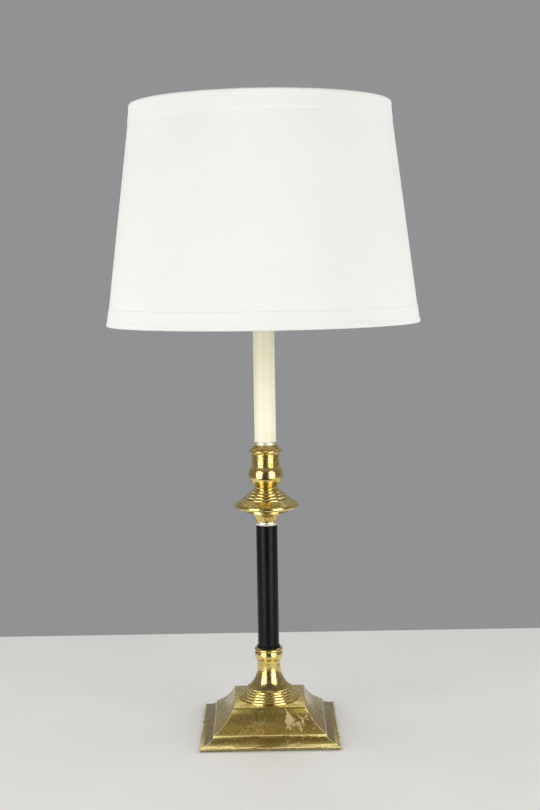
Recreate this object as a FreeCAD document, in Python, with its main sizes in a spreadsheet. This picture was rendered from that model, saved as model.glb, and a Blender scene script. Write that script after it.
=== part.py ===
"""Candlestick lamp: square brass plinth, black column, candle, and a tapered shade on a harp.

The lamp stands on z = 0 with its pipe on the z axis. Its front faces -Y. Sizes are millimetres.
"""

import FreeCAD, Part
import os
import re
import Sketcher
from FreeCAD import Placement, Rotation, Vector

# Driving sizes. Each one can be changed by itself.
SIZES = {
    # plinth, its felt, board and weight
    "felt_thickness": 1.2,
    "felt_inset": 1.6,
    "plinth_width": 168.7,
    "plinth_height": 39.0,
    "plinth_edge": 2.4,
    "plinth_lip_height": 2.9,
    "plinth_lip": 1.3,
    "low_cove_width": 14.6,
    "low_cove_height": 6.8,
    "low_cove_depth": 0.7,
    "ledge_height": 2.9,
    "ledge_width": 2.9,
    "ledge_slope": 1.2,
    "plateau_half": 43.7,
    "plateau_drop": 2.2,
    "plateau_break": 1.3,
    "cove_foot_step": 1.6,
    "cove_depth": 1.45,
    "plinth_ceiling": 3.0,
    "cavity_bottom_half": 75.0,
    "cavity_top_half": 39.0,
    "board_thickness": 2.0,
    "board_clearance": 0.6,
    "weight_height": 14.0,
    "weight_clearance": 2.5,
    # lamp pipe and what clamps it
    "pipe_radius": 4.9,
    "pipe_bore_radius": 3.2,
    "pipe_clearance": 0.3,
    "thread_clearance": 0.05,
    "pipe_tail": 4.0,
    "hex_across_flats": 14.3,
    "nut_height": 4.5,
    "washer_radius": 8.6,
    "washer_thickness": 1.4,
    # cord bushing in the rear of the plinth
    "bushing_radius": 4.3,
    "bushing_bore_radius": 3.2,
    "bushing_height": 9.5,
    "bushing_length": 20.0,
    "bushing_reach": 79.0,
    "bushing_clearance": 0.1,
    # turned foot and collar
    "foot_radius": 38.0,
    "foot_height": 48.4,
    "foot_bead_height": 13.4,
    "foot_flare_radius": 26.0,
    "foot_bead_bulge": 0.55,
    "foot_waist_radius": 15.2,
    "foot_waist_bow": 3.7,
    "foot_hollow_radius": 31.0,
    "foot_hollow_height": 30.0,
    "collar_height": 14.9,
    "collar_radius": 17.4,
    "collar_end_radius": 15.6,
    "collar_waist_radius": 16.4,
    "collar_bead_height": 4.1,
    # black column
    "tube_radius": 13.05,
    "tube_wall": 1.2,
    "tube_length": 151.0,
    "spigot_clearance": 0.1,
    "spigot_depth": 6.0,
    "lower_ring_radius": 14.3,
    "lower_ring_height": 3.5,
    "upper_ring_radius": 14.0,
    "upper_ring_height": 4.5,
    # drip pan
    "pan_height": 41.1,
    "pan_radius": 39.6,
    "pan_rim_height": 21.6,
    "pan_rim_thickness": 4.6,
    "pan_stem_radius": 13.4,
    "pan_under_radius": 21.6,
    "pan_under_height": 12.2,
    "pan_step_radius": 28.0,
    "pan_step_height": 1.8,
    "pan_bead_radius": 28.8,
    "pan_bead_height": 12.6,
    "pan_bead_bulge": 0.55,
    "pan_neck_radius": 13.65,
    "pan_core_radius": 9.5,
    "pan_core_floor": 4.0,
    # candle cup
    "cup_height": 53.6,
    "cup_neck_height": 1.8,
    "cup_neck_step": 0.35,
    "cup_bead_radius": 18.3,
    "cup_bead_height": 7.7,
    "cup_bead_bulge": 0.4,
    "cup_bulge_radius": 21.3,
    "cup_bulge_top": 26.2,
    "cup_bulge_lift": 1.0,
    "cup_step_width": 0.6,
    "cup_step_height": 0.8,
    "cup_barrel_radius": 16.9,
    "cup_barrel_top": 42.7,
    "cup_lip_radius": 20.6,
    "cup_lip_height": 45.9,
    "cup_lip_edge": 1.1,
    "cup_mouth_radius": 14.95,
    "cup_shoulder_sag": 0.5,
    "cup_well_radius": 12.2,
    "cup_well_floor": 10.0,
    # candle
    "candle_ring_radius": 14.2,
    "candle_ring_height": 4.1,
    "candle_ring_bulge": 0.5,
    "candle_ring_taper": 0.3,
    "candle_radius": 13.1,
    "candle_wall": 1.0,
    "candle_length": 159.3,
    "candle_spigot": 8.0,
    "check_ring_radius": 13.7,
    "check_ring_height": 2.5,
    "check_ring_bulge": 0.4,
    # harp saddle
    "saddle_thickness": 1.6,
    "saddle_width": 16.0,
    "saddle_flat": 14.0,
    "saddle_rise": 5.9,
    "saddle_lug": 4.0,
    "saddle_nut_height": 3.5,
    "leg_spacing": 57.0,
    "pin_radius": 2.2,
    "pin_height": 7.6,
    # socket
    "socket_neck_radius": 7.6,
    "socket_neck_height": 8.0,
    "socket_dome_height": 7.3,
    "socket_cap_radius": 17.0,
    "socket_cap_rim": 12.0,
    "sheet_metal": 0.6,
    "socket_shell_lap": 5.0,
    "socket_shell_height": 41.5,
    "socket_curl": 1.9,
    "socket_fit": 0.1,
    "insulator_wall": 0.7,
    "insulator_end": 1.8,
    "switch_body_gap": 2.4,
    "switch_body_height": 20.0,
    "screw_shell_radius": 13.35,
    "screw_shell_height": 22.0,
    "screw_shell_wall": 0.5,
    "contact_radius": 4.0,
    "contact_thickness": 0.8,
    "terminal_radius": 3.0,
    "terminal_height": 2.0,
    "terminal_offset": 8.5,
    "set_screw_radius": 1.5,
    "set_screw_length": 4.5,
    # switch
    "switch_axis_drop": 6.0,
    "switch_shaft_radius": 2.0,
    "switch_shaft_start": 7.0,
    "switch_shaft_end": 32.0,
    "switch_running_fit": 0.06,
    "switch_hole_radius": 3.2,
    "knob_radius": 6.2,
    "knob_start": 21.5,
    "knob_length": 15.0,
    "knob_neck_radius": 4.2,
    "knob_bore_depth": 10.6,
    "knob_rib_radius": 0.7,
    # bulb
    "bulb_gap": 0.3,
    "bulb_length": 110.0,
    "bulb_radius": 30.0,
    "bulb_glass_wall": 0.8,
    "bulb_neck_radius": 12.5,
    "bulb_neck_top": 27.0,
    "bulb_neck_lap": 3.0,
    "bulb_crown_flat": 0.6,
    "bulb_cap_radius": 13.1,
    "bulb_cap_wall": 0.45,
    "bulb_cap_top": 25.0,
    "bulb_cap_bottom": 3.8,
    "bulb_cap_shoulder": 1.0,
    "bulb_cap_shoulder_height": 2.0,
    "bulb_cap_taper_height": 3.4,
    "bulb_tip_radius": 4.6,
    "bulb_tip_height": 2.6,
    "bulb_tip_fit": 0.08,
    "bulb_insulator_radius": 9.2,
    "bulb_insulator_thickness": 1.5,
    "bulb_stem_radius": 3.4,
    "bulb_stem_base": 22.0,
    "bulb_stem_top": 55.0,
    "bulb_stem_flare": 9.0,
    "lead_radius": 0.4,
    "lead_root": 2.0,
    "lead_spread": 9.0,
    "lead_top": 76.0,
    "lead_straight": 4.0,
    "lead_bend": 4.0,
    "filament_radius": 0.3,
    "filament_sag": 2.2,
    "filament_bend": 3.0,
    # harp and its sleeves
    "harp_height": 215.9,
    "harp_wire_radius": 2.0,
    "harp_half_width": 56.0,
    "harp_leg_gap": 0.4,
    "harp_leg_straight": 34.0,
    "harp_flare_rise": 40.0,
    "harp_shoulder_drop": 53.0,
    "harp_flat_half": 18.0,
    "harp_leg_bend": 26.0,
    "harp_side_bend": 55.0,
    "harp_top_bend": 18.0,
    "harp_eye_radius": 6.5,
    "sleeve_length": 15.0,
    "sleeve_drop": 6.8,
    "sleeve_wall": 1.1,
    "sleeve_fit": 0.08,
    "sleeve_flange": 0.8,
    "sleeve_flange_height": 2.0,
    # stud, seat and finial
    "rest_gap": 0.2,
    "seat_radius": 8.5,
    "seat_thickness": 1.6,
    "stud_shank_radius": 2.6,
    "stud_running_fit": 0.08,
    "rivet_radius": 4.4,
    "rivet_height": 1.8,
    "stud_thread_radius": 3.1,
    "stud_thread_length": 12.5,
    "insert_radius": 4.6,
    "insert_length": 10.0,
    "insert_fit": 0.08,
    "finial_height": 23.0,
    "finial_foot_radius": 7.4,
    "finial_neck_radius": 5.6,
    "finial_ball_radius": 8.6,
    "finial_foot_edge": 1.2,
    "finial_foot_height": 2.6,
    "finial_tip_height": 2.6,
    # shade
    "shade_recess": 28.0,
    "shade_height": 261.4,
    "shade_top_radius": 154.4,
    "shade_bottom_radius": 189.7,
    "shade_wall": 1.0,
    "trim_thickness": 0.6,
    "trim_band": 21.0,
    "trim_fold": 5.4,
    "rim_bead": 0.8,
    "rim_bead_height": 7.0,
    "shade_wire_radius": 1.6,
    "shade_wire_gap": 0.5,
    "hub_radius": 14.0,
    "hub_hole_radius": 5.6,
    "hub_thickness": 1.6,
    "arm_radius": 1.6,
    "arm_start": 10.6,
    "arm_weld": 0.25,
    "arm_bend": 12.0,
    "arm_count": 3,
}

# Heights and radii that follow from the driving sizes, in the order in which the lamp is stacked.
LEVELS = {
    "plinth_top": "felt_thickness + plinth_height",
    "edge_top": "felt_thickness + plinth_edge",
    "low_cove_bottom": "felt_thickness + plinth_lip_height",
    "low_cove_top": "low_cove_bottom + low_cove_height",
    "ledge_top": "low_cove_top + ledge_height",
    "plinth_half": "plinth_width / 2",
    "low_cove_half": "plinth_half - plinth_lip",
    "ledge_half": "low_cove_half - low_cove_width",
    "cove_foot_half": "ledge_half - ledge_width",
    "cove_head_half": "plateau_half + plateau_break",
    "cove_bottom": "ledge_top + ledge_slope + cove_foot_step",
    "cove_top": "plinth_top - plateau_drop",
    "ceiling": "plinth_top - plinth_ceiling",
    "weight_bottom": "ceiling - weight_height",
    "washer_bottom": "weight_bottom - washer_thickness",
    "nut_bottom": "washer_bottom - nut_height",
    "pipe_bottom": "nut_bottom - pipe_tail",
    "pipe_hole": "pipe_radius + pipe_clearance",
    "pipe_thread": "pipe_radius + thread_clearance",
    "foot_top": "plinth_top + foot_height",
    "collar_top": "foot_top + collar_height",
    "collar_split": "collar_top - collar_bead_height",
    "tube_bottom": "collar_top + lower_ring_height",
    "tube_top": "tube_bottom + tube_length",
    "tube_spigot": "tube_radius - tube_wall - spigot_clearance",
    "pan_bottom": "tube_top + upper_ring_height",
    "pan_top": "pan_bottom + pan_height",
    "pan_rim": "pan_bottom + pan_rim_height",
    "pan_underside": "pan_bottom + pan_under_height",
    "pan_bead_bottom": "pan_top - pan_bead_height",
    "cup_top": "pan_top + cup_height",
    "cup_lip": "pan_top + cup_lip_height",
    "cup_bulge_foot": "pan_top + cup_bead_height",
    "cup_bulge_head": "pan_top + cup_bulge_top",
    "candle_bottom": "cup_top + candle_ring_height",
    "candle_top": "candle_bottom + candle_length",
    "candle_spigot_radius": "candle_radius - candle_wall - spigot_clearance",
    "saddle_bottom": "candle_top + check_ring_height",
    "saddle_top": "saddle_bottom + saddle_thickness",
    "lug_top": "saddle_top + saddle_rise",
    "pin_top": "lug_top + pin_height",
    "leg_offset": "leg_spacing / 2",
    "leg_bottom": "pin_top + harp_leg_gap",
    "socket_bottom": "saddle_top + saddle_nut_height",
    "socket_dome": "socket_bottom + socket_neck_height",
    "socket_shoulder": "socket_dome + socket_dome_height",
    "socket_rim": "socket_shoulder + socket_cap_rim",
    "pipe_top": "socket_dome + sheet_metal",
    "socket_shell_bottom": "socket_rim - socket_shell_lap",
    "socket_shell_top": "socket_shell_bottom + socket_shell_height",
    "socket_shell_outer": "socket_cap_radius - sheet_metal - socket_fit",
    "insulator_outer": "socket_shell_outer - sheet_metal - socket_fit",
    "insulator_inner": "insulator_outer - insulator_wall",
    "switch_body_radius": "insulator_inner - socket_fit",
    "switch_body_bottom": "socket_shoulder + switch_body_gap",
    "switch_body_top": "switch_body_bottom + switch_body_height",
    "switch_axis": "switch_body_top - switch_axis_drop",
    "contact_top": "switch_body_top + contact_thickness",
    "bulb_bottom": "contact_top + bulb_gap",
    "harp_seat": "saddle_bottom + harp_height",
    "seat_top": "harp_seat - rest_gap",
    "seat_bottom": "seat_top - seat_thickness",
    "harp_eye_top": "seat_bottom - rest_gap",
    "harp_top_centre": "harp_eye_top - harp_wire_radius",
    "harp_eye_bottom": "harp_top_centre - harp_wire_radius",
    "hub_top": "harp_seat + hub_thickness",
    "finial_bottom": "hub_top + rest_gap",
    "stud_top": "harp_seat + stud_thread_length",
    "shade_top": "harp_seat + shade_recess",
    "shade_bottom": "shade_top - shade_height",
    "shell_top": "shade_top - trim_thickness",
    "shell_bottom": "shade_bottom + trim_thickness",
    "shell_top_radius": "shade_top_radius - trim_thickness - rim_bead",
    "shell_bottom_radius": "shade_bottom_radius - trim_thickness - rim_bead",
    "shade_slope": "(shell_bottom_radius - shell_top_radius) / (shell_top - shell_bottom)",
    "fold_depth": "shade_wall + 2 * shade_wire_gap + 2 * shade_wire_radius + trim_thickness",
    "ring_inset": "shade_wall + shade_wire_gap + shade_wire_radius",
    "top_ring_radius": "shell_top_radius - ring_inset",
    "top_ring_height": "shell_top - shade_wire_gap - shade_wire_radius",
    "bottom_ring_radius": "shell_bottom_radius - ring_inset",
    "bottom_ring_height": "shell_bottom + shade_wire_gap + shade_wire_radius",
    "arm_height": "hub_top + arm_radius - arm_weld",
    "arm_end": "top_ring_height - shade_wire_radius + arm_weld",
}

MATHS = {"sqrt"}

doc = FreeCAD.newDocument("CandlestickLamp")


def make_sheet(name, cells, formula=False):
    """A spreadsheet with one alias per row; its cells hold plain numbers, or formulas."""
    sheet = doc.addObject("Spreadsheet::Sheet", name)
    for row, (alias, content) in enumerate(cells.items(), start=1):
        sheet.set(f"A{row}", alias)
        sheet.set(f"B{row}", f"={content}" if formula else str(content))
        sheet.setAlias(f"B{row}", alias)
    doc.recompute()
    return sheet


def tied(expression):
    """The expression with each size written as its sheet's cell."""

    def cell(match):
        word = match[0]
        if word in MATHS:
            return word
        return f"Sizes.{word}" if word in SIZES else f"Levels.{word}"

    return re.sub(r"[a-z]\w*", cell, str(expression))


def value(expression):
    """The number that an expression gives."""
    return float(sizes.evalExpression(tied(expression)))


def bind(thing, **expressions):
    """Bind properties of an object to expressions in the sheet's sizes."""
    for name, expression in expressions.items():
        thing.setExpression(name.replace("__", "."), tied(expression))


sizes = make_sheet("Sizes", SIZES)
make_sheet(
    "Levels",
    {
        name: re.sub(r"[a-z]\w*", lambda m: f"Sizes.{m[0]}" if m[0] in SIZES else m[0], text)
        for name, text in LEVELS.items()
    },
    formula=True,
)


# ---------------------------------------------------------------- sketches


def pin_point(sketch, geometry, corner, x, y):
    """Hold one point of a sketch at two expressions from the origin."""
    for kind, expression in (("DistanceX", x), ("DistanceY", y)):
        distance = value(expression)
        if distance < 0:
            ends = (geometry, corner, -1, 1)
            expression, distance = f"-({expression})", -distance
        else:
            ends = (-1, 1, geometry, corner)
        index = sketch.addConstraint(Sketcher.Constraint(kind, *ends, distance))
        if re.search(r"[a-z]", str(expression)):
            sketch.setExpression(f"Constraints[{index}]", tied(expression))


def at(x, y):
    return Vector(value(x), value(y), 0)


def arc_through(start, via, stop):
    """The arc through three points, drawn anticlockwise whichever way it is travelled."""
    anticlockwise = (via - start).cross(stop - via).z > 0
    return Part.Arc(start, via, stop) if anticlockwise else Part.Arc(stop, via, start)


def ends_of(sketch, geometry, first):
    """Which numbers a curve's two ends have, the one at `first` coming first."""
    start = sketch.Geometry[geometry].StartPoint
    return (1, 2) if start.distanceToPoint(first) < 1e-6 else (2, 1)


def draw_outline(sketch, outline):
    """Draw a closed outline of corners (x, y); ("via", x, y) puts an arc between its neighbours."""
    count = len(outline)
    curves = []
    index = 0
    while index < count:
        here, after = outline[index], outline[(index + 1) % count]
        if after[0] == "via":
            via, after = after, outline[(index + 2) % count]
            curve = arc_through(at(*here), at(*via[1:]), at(*after))
            index += 2
        else:
            via, curve = None, Part.LineSegment(at(*here), at(*after))
            index += 1
        geometry = sketch.addGeometry(curve, False)
        curves.append((geometry, ends_of(sketch, geometry, at(*here)), here, via))
    for number, (geometry, ends, here, via) in enumerate(curves):
        follower, follower_ends = curves[(number + 1) % len(curves)][:2]
        joint = Sketcher.Constraint("Coincident", geometry, ends[1], follower, follower_ends[0])
        sketch.addConstraint(joint)
        pin_point(sketch, geometry, ends[0], *here)
        if via:
            point = sketch.addGeometry(Part.Point(at(*via[1:])), True)
            pin_point(sketch, point, 1, *via[1:])
            sketch.addConstraint(Sketcher.Constraint("PointOnObject", point, 1, geometry))


def draw_circle(sketch, x, y, radius):
    circle = Part.Circle(at(x, y), Vector(0, 0, 1), value(radius))
    geometry = sketch.addGeometry(circle, False)
    pin_point(sketch, geometry, 3, x, y)
    index = sketch.addConstraint(Sketcher.Constraint("Radius", geometry, value(radius)))
    sketch.setExpression(f"Constraints[{index}]", tied(radius))


def draw_bent_path(sketch, corners, bends):
    """Straight runs between corners, joined by tangent arcs of the given bend radii."""
    points = [at(*corner) for corner in corners]
    trims = []
    for before, corner, after, bend in zip(points, points[1:], points[2:], bends):
        arriving = (corner - before).normalize()
        leaving = (after - corner).normalize()
        length = value(bend) * abs((arriving.cross(leaving)).z) / (1 + arriving.dot(leaving))
        middle = corner + (leaving - arriving).normalize() * (
            (value(bend) ** 2 + length**2) ** 0.5 - value(bend)
        )
        trims.append((corner - arriving * length, middle, corner + leaving * length))
    starts = [points[0]] + [trim[2] for trim in trims]
    stops = [trim[0] for trim in trims] + [points[-1]]
    lines = [sketch.addGeometry(Part.LineSegment(a, b), False) for a, b in zip(starts, stops)]
    pin_point(sketch, lines[0], 1, *corners[0])
    pin_point(sketch, lines[-1], 2, *corners[-1])
    for index, (start, middle, stop) in enumerate(trims):
        arc = sketch.addGeometry(arc_through(start, middle, stop), False)
        first, last = ends_of(sketch, arc, start)
        sketch.addConstraint(Sketcher.Constraint("Tangent", lines[index], 2, arc, first))
        sketch.addConstraint(Sketcher.Constraint("Tangent", arc, last, lines[index + 1], 1))
        radius = Sketcher.Constraint("Radius", arc, value(bends[index]))
        sketch.setExpression(f"Constraints[{sketch.addConstraint(radius)}]", tied(bends[index]))
        corner = sketch.addGeometry(Part.Point(points[index + 1]), True)
        pin_point(sketch, corner, 1, *corners[index + 1])
        for line in lines[index : index + 2]:
            sketch.addConstraint(Sketcher.Constraint("PointOnObject", corner, 1, line))


def sketch_in(body, name, plane, offset=None):
    """A sketch on one of the body's own origin planes, moved along its normal by `offset`."""
    sketch = body.newObject("Sketcher::SketchObject", name)
    support = [part for part in body.Origin.OriginFeatures if part.Role == plane]
    sketch.AttachmentSupport = [(support[0], "")]
    sketch.MapMode = "FlatFace"
    if offset:
        bind(sketch, AttachmentOffset__Base__z=offset)
        doc.recompute()
    return sketch


def beads(start, end, count, bulge):
    """Corners of a row of round beads on the line from start to end, without the two ends."""
    corners = []
    for number in range(count):
        shares = (number + 0.5) / count, (number + 1) / count
        middle, corner = (
            [f"({a}) + (({b}) - ({a})) * {share:.6f}" for a, b in zip(start, end)]
            for share in shares
        )
        corners.append(("via", f"{middle[0]} + {bulge}", f"{middle[1]} + {bulge}"))
        corners.append(tuple(corner))
    return corners[:-1]


# ---------------------------------------------------------------- features


def new_body(label):
    body = doc.addObject("PartDesign::Body", label)
    body.Label = label
    return body


def turned(label, outline):
    """A body turned about the z axis from corners (radius, height)."""
    body = new_body(label)
    sketch = sketch_in(body, label + "_profile", "XZ_Plane")
    draw_outline(sketch, outline)
    turning = body.newObject("PartDesign::Revolution", label + "_turning")
    turning.Profile = sketch
    turning.ReferenceAxis = (sketch, ["V_Axis"])
    turning.Angle = 360
    return body


def pad_from(body, sketch, length, both_ways=False):
    pad = body.newObject("PartDesign::Pad", sketch.Label + "_pad")
    pad.Profile = sketch
    pad.SideType = "Symmetric" if both_ways else "One side"
    bind(pad, Length=length)
    return pad


def cut_hole(body, name, plane, x, y, radius, offset=None, reverse=False, length=None):
    """Cut a round hole square to a plane; it goes right through unless a length is given."""
    doc.recompute()
    before = body.Shape.Volume
    sketch = sketch_in(body, name + "_circle", plane, offset)
    draw_circle(sketch, x, y, radius)
    pocket = body.newObject("PartDesign::Pocket", name)
    pocket.Profile = sketch
    pocket.Type = "Length" if length else "ThroughAll"
    pocket.Reversed = reverse
    if length:
        bind(pocket, Length=length)
    doc.recompute()
    assert body.Shape.Volume < before, f"{name} cuts nothing"
    return pocket


def bent_wire(body, name, corners, bends, radius, start_plane):
    """A round wire along a bent path in the xz plane that starts square to start_plane."""
    path = sketch_in(body, name + "_path", "XZ_Plane")
    draw_bent_path(path, corners, bends)
    x, z = corners[0]
    if start_plane == "XY_Plane":
        section = sketch_in(body, name + "_section", start_plane, z)
        draw_circle(section, x, "0", radius)
    else:
        section = sketch_in(body, name + "_section", start_plane, x)
        draw_circle(section, "0", z, radius)
    doc.recompute()
    sweep = body.newObject("PartDesign::AdditivePipe", name + "_sweep")
    sweep.Profile = section
    sweep.Spine = (path, [f"Edge{number + 1}" for number in range(len(path.Shape.Edges))])
    sweep.Transition = "Transformed"
    return sweep


def part_object(kind, label, **expressions):
    """A Part primitive or boolean with its sizes bound."""
    thing = doc.addObject(kind, label)
    thing.Label = label
    bind(thing, **expressions)
    return thing


def cut_from(label, base, tool):
    cut = part_object("Part::Cut", label)
    cut.Base = base
    cut.Tool = tool
    return cut


def square_plate(label, half, bottom, thickness, hole=None):
    """A square plate about the z axis, with a round hole if one is given."""
    name = label + "_blank" if hole else label
    plate = part_object(
        "Part::Box",
        name,
        Length=f"2 * ({half})",
        Width=f"2 * ({half})",
        Height=thickness,
        Placement__Base__x=f"-({half})",
        Placement__Base__y=f"-({half})",
        Placement__Base__z=bottom,
    )
    if not hole:
        return plate
    bore = cylinder(label + "_hole", hole, bottom, thickness)
    return cut_from(label, plate, bore)


def cylinder(label, radius, bottom, height):
    return part_object(
        "Part::Cylinder", label, Radius=radius, Height=height, Placement__Base__z=bottom
    )


def hex_nut(label, bottom, height):
    """A hexagon nut on the lamp pipe."""
    blank = part_object(
        "Part::Prism",
        label + "_blank",
        Circumradius="hex_across_flats / sqrt(3)",
        Height=height,
        Placement__Base__z=bottom,
    )
    blank.Polygon = 6
    return cut_from(label, blank, cylinder(label + "_hole", "pipe_thread", bottom, height))


# ---------------------------------------------------------------- plinth


def plinth_outline():
    """The moulding's right half, from the table to the top square, then its mirror image."""
    low_middle = (
        "via",
        "(low_cove_half + ledge_half) / 2 - low_cove_depth / 2",
        "(low_cove_bottom + low_cove_top) / 2 - low_cove_depth",
    )
    cove_middle = (
        "via",
        "(cove_foot_half - cove_foot_step + cove_head_half) / 2 - cove_depth",
        "(cove_bottom + cove_top) / 2 - cove_depth",
    )
    right = [
        ("plinth_half", "felt_thickness"),
        ("plinth_half", "edge_top"),
        ("low_cove_half", "low_cove_bottom"),
        low_middle,
        ("ledge_half", "low_cove_top"),
        ("ledge_half", "ledge_top"),
        ("cove_foot_half", "ledge_top + ledge_slope"),
        ("cove_foot_half - cove_foot_step", "cove_bottom"),
        cove_middle,
        ("cove_head_half", "cove_top"),
        ("plateau_half", "plinth_top"),
    ]
    left = [(*point[:-2], f"-({point[-2]})", point[-1]) for point in reversed(right)]
    return right + left


def moulding_run(name, turn):
    """The moulding's whole section, drawn upright and run the plinth's width across it."""
    sketch = doc.addObject("Sketcher::SketchObject", name + "_section")
    upright = Rotation(Vector(1, 0, 0), 90)
    sketch.Placement = Placement(Vector(0, 0, 0), Rotation(Vector(0, 0, 1), turn).multiply(upright))
    draw_outline(sketch, plinth_outline())
    run = part_object("Part::Extrusion", name, LengthFwd="plinth_width")
    run.Base = sketch
    run.DirMode = "Normal"
    run.Symmetric = True
    run.Solid = True
    return run


def make_plinth():
    """Two moulding runs crossed at right angles give the mitred square; then it is hollowed."""
    block = part_object("Part::Common", "plinth_block")
    block.Base = moulding_run("front_and_back_run", 0)
    block.Tool = moulding_run("side_run", 90)
    cavity = part_object(
        "Part::Wedge",
        "plinth_cavity",
        Xmin="-cavity_bottom_half",
        Xmax="cavity_bottom_half",
        Zmin="-cavity_bottom_half",
        Zmax="cavity_bottom_half",
        X2min="-cavity_top_half",
        X2max="cavity_top_half",
        Z2min="-cavity_top_half",
        Z2max="cavity_top_half",
        Ymin="felt_thickness",
        Ymax="ceiling",
    )
    cavity.Placement.Rotation = Rotation(Vector(1, 0, 0), 90)
    shell = cut_from("plinth_shell", block, cavity)
    pipe_hole = cylinder("plinth_pipe_hole", "pipe_hole", "felt_thickness", "plinth_height")
    drilled = cut_from("plinth_drilled", shell, pipe_hole)
    cord_hole = part_object(
        "Part::Cylinder",
        "plinth_cord_hole",
        Radius="bushing_radius + bushing_clearance",
        Height="plinth_half",
        Placement__Base__z="bushing_height",
    )
    cord_hole.Placement.Rotation = Rotation(Vector(1, 0, 0), -90)
    return cut_from("base_plinth", drilled, cord_hole)


def make_base_fillings():
    """Felt, stiffening board, iron weight, and the washer and nut that clamp the stack."""
    board_half = "cavity_bottom_half - board_thickness - board_clearance"
    washer = cut_from(
        "lock_washer",
        cylinder("lock_washer_blank", "washer_radius", "washer_bottom", "washer_thickness"),
        cylinder("lock_washer_hole", "pipe_hole", "washer_bottom", "washer_thickness"),
    )
    return [
        square_plate("felt_pad", "plinth_half - felt_inset", "0", "felt_thickness"),
        square_plate("base_board", board_half, "felt_thickness", "board_thickness"),
        square_plate(
            "base_weight",
            "cavity_top_half - weight_clearance",
            "weight_bottom",
            "weight_height",
            "pipe_hole",
        ),
        washer,
        hex_nut("base_nut", "nut_bottom", "nut_height"),
    ]


def make_cord_bushing():
    """A plain sleeve through the plinth's rear wall; it is turned upright and laid along +Y."""
    bushing = turned(
        "cord_bushing",
        [
            ("bushing_bore_radius", "bushing_reach - bushing_length"),
            ("bushing_radius", "bushing_reach - bushing_length"),
            ("bushing_radius", "bushing_reach"),
            ("bushing_bore_radius", "bushing_reach"),
        ],
    )
    bushing.Placement = Placement(Vector(0, 0, 0), Rotation(Vector(1, 0, 0), -90))
    bind(bushing, Placement__Base__z="bushing_height")
    return bushing


# ---------------------------------------------------------------- stem


def make_lamp_pipe():
    return turned(
        "lamp_pipe",
        [
            ("pipe_bore_radius", "pipe_bottom"),
            ("pipe_radius", "pipe_bottom"),
            ("pipe_radius", "pipe_top"),
            ("pipe_bore_radius", "pipe_top"),
        ],
    )


def make_stem_foot():
    """Five turned beads, then a flare that draws in to the waist."""
    start = ("foot_radius", "plinth_top")
    end = ("foot_flare_radius", "plinth_top + foot_bead_height")
    flare = (
        "via",
        "(foot_flare_radius + foot_waist_radius) / 2 - foot_waist_bow",
        "plinth_top + foot_bead_height + (foot_height - foot_bead_height) * 0.38",
    )
    return turned(
        "stem_foot",
        [
            ("foot_hollow_radius", "plinth_top"),
            start,
            *beads(start, end, 5, "foot_bead_bulge"),
            end,
            flare,
            ("foot_waist_radius", "foot_top"),
            ("pipe_hole", "foot_top"),
            ("pipe_hole", "plinth_top + foot_hollow_height"),
        ],
    )


def make_foot_collar():
    """A large bead under a small one."""
    return turned(
        "foot_collar",
        [
            ("pipe_hole", "foot_top"),
            ("collar_end_radius", "foot_top"),
            ("via", "collar_radius", "foot_top + (collar_height - collar_bead_height) * 0.55"),
            ("collar_waist_radius", "collar_split"),
            ("via", "collar_radius", "collar_split + collar_bead_height * 0.45"),
            ("collar_end_radius", "collar_top"),
            ("pipe_hole", "collar_top"),
        ],
    )


def make_lower_ring():
    return turned(
        "lower_tube_ring",
        [
            ("pipe_hole", "collar_top"),
            ("lower_ring_radius", "collar_top"),
            ("lower_ring_radius", "tube_bottom - lower_ring_height / 3"),
            ("tube_radius", "tube_bottom"),
            ("tube_spigot", "tube_bottom"),
            ("tube_spigot", "tube_bottom + spigot_depth"),
            ("pipe_hole", "tube_bottom + spigot_depth"),
        ],
    )


def make_column_tube():
    return turned(
        "column_tube",
        [
            ("tube_radius - tube_wall", "tube_bottom"),
            ("tube_radius", "tube_bottom"),
            ("tube_radius", "tube_top"),
            ("tube_radius - tube_wall", "tube_top"),
        ],
    )


def make_upper_ring():
    return turned(
        "upper_tube_ring",
        [
            ("pipe_hole", "tube_top - spigot_depth"),
            ("tube_spigot", "tube_top - spigot_depth"),
            ("tube_spigot", "tube_top"),
            ("tube_radius", "tube_top"),
            ("via", "upper_ring_radius", "tube_top + upper_ring_height / 2"),
            ("pan_stem_radius", "pan_bottom"),
            ("pipe_hole", "pan_bottom"),
        ],
    )


def make_drip_pan():
    """A saucer on a trumpet stem, with four turned beads up to its neck."""
    bead_start = ("pan_bead_radius", "pan_bead_bottom")
    neck = ("pan_neck_radius", "pan_top")
    return turned(
        "drip_pan",
        [
            ("pipe_hole", "pan_bottom"),
            ("pan_stem_radius", "pan_bottom"),
            (
                "via",
                "pan_stem_radius + (pan_under_radius - pan_stem_radius) * 0.35",
                "pan_bottom + pan_under_height * 0.62",
            ),
            ("pan_under_radius", "pan_underside"),
            ("pan_step_radius", "pan_underside + pan_step_height / 2"),
            ("pan_step_radius", "pan_underside + pan_step_height * 1.5"),
            ("pan_radius - pan_rim_thickness / 2", "pan_rim - pan_rim_thickness"),
            ("via", "pan_radius", "pan_rim - pan_rim_thickness * 0.35"),
            ("pan_radius - pan_rim_thickness / 3", "pan_rim + pan_rim_thickness / 4"),
            bead_start,
            *beads(bead_start, neck, 4, "pan_bead_bulge"),
            neck,
            ("pan_core_radius", "pan_top"),
            ("pan_core_radius", "pan_bottom + pan_core_floor"),
            ("pipe_hole", "pan_bottom + pan_core_floor"),
        ],
    )


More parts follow.
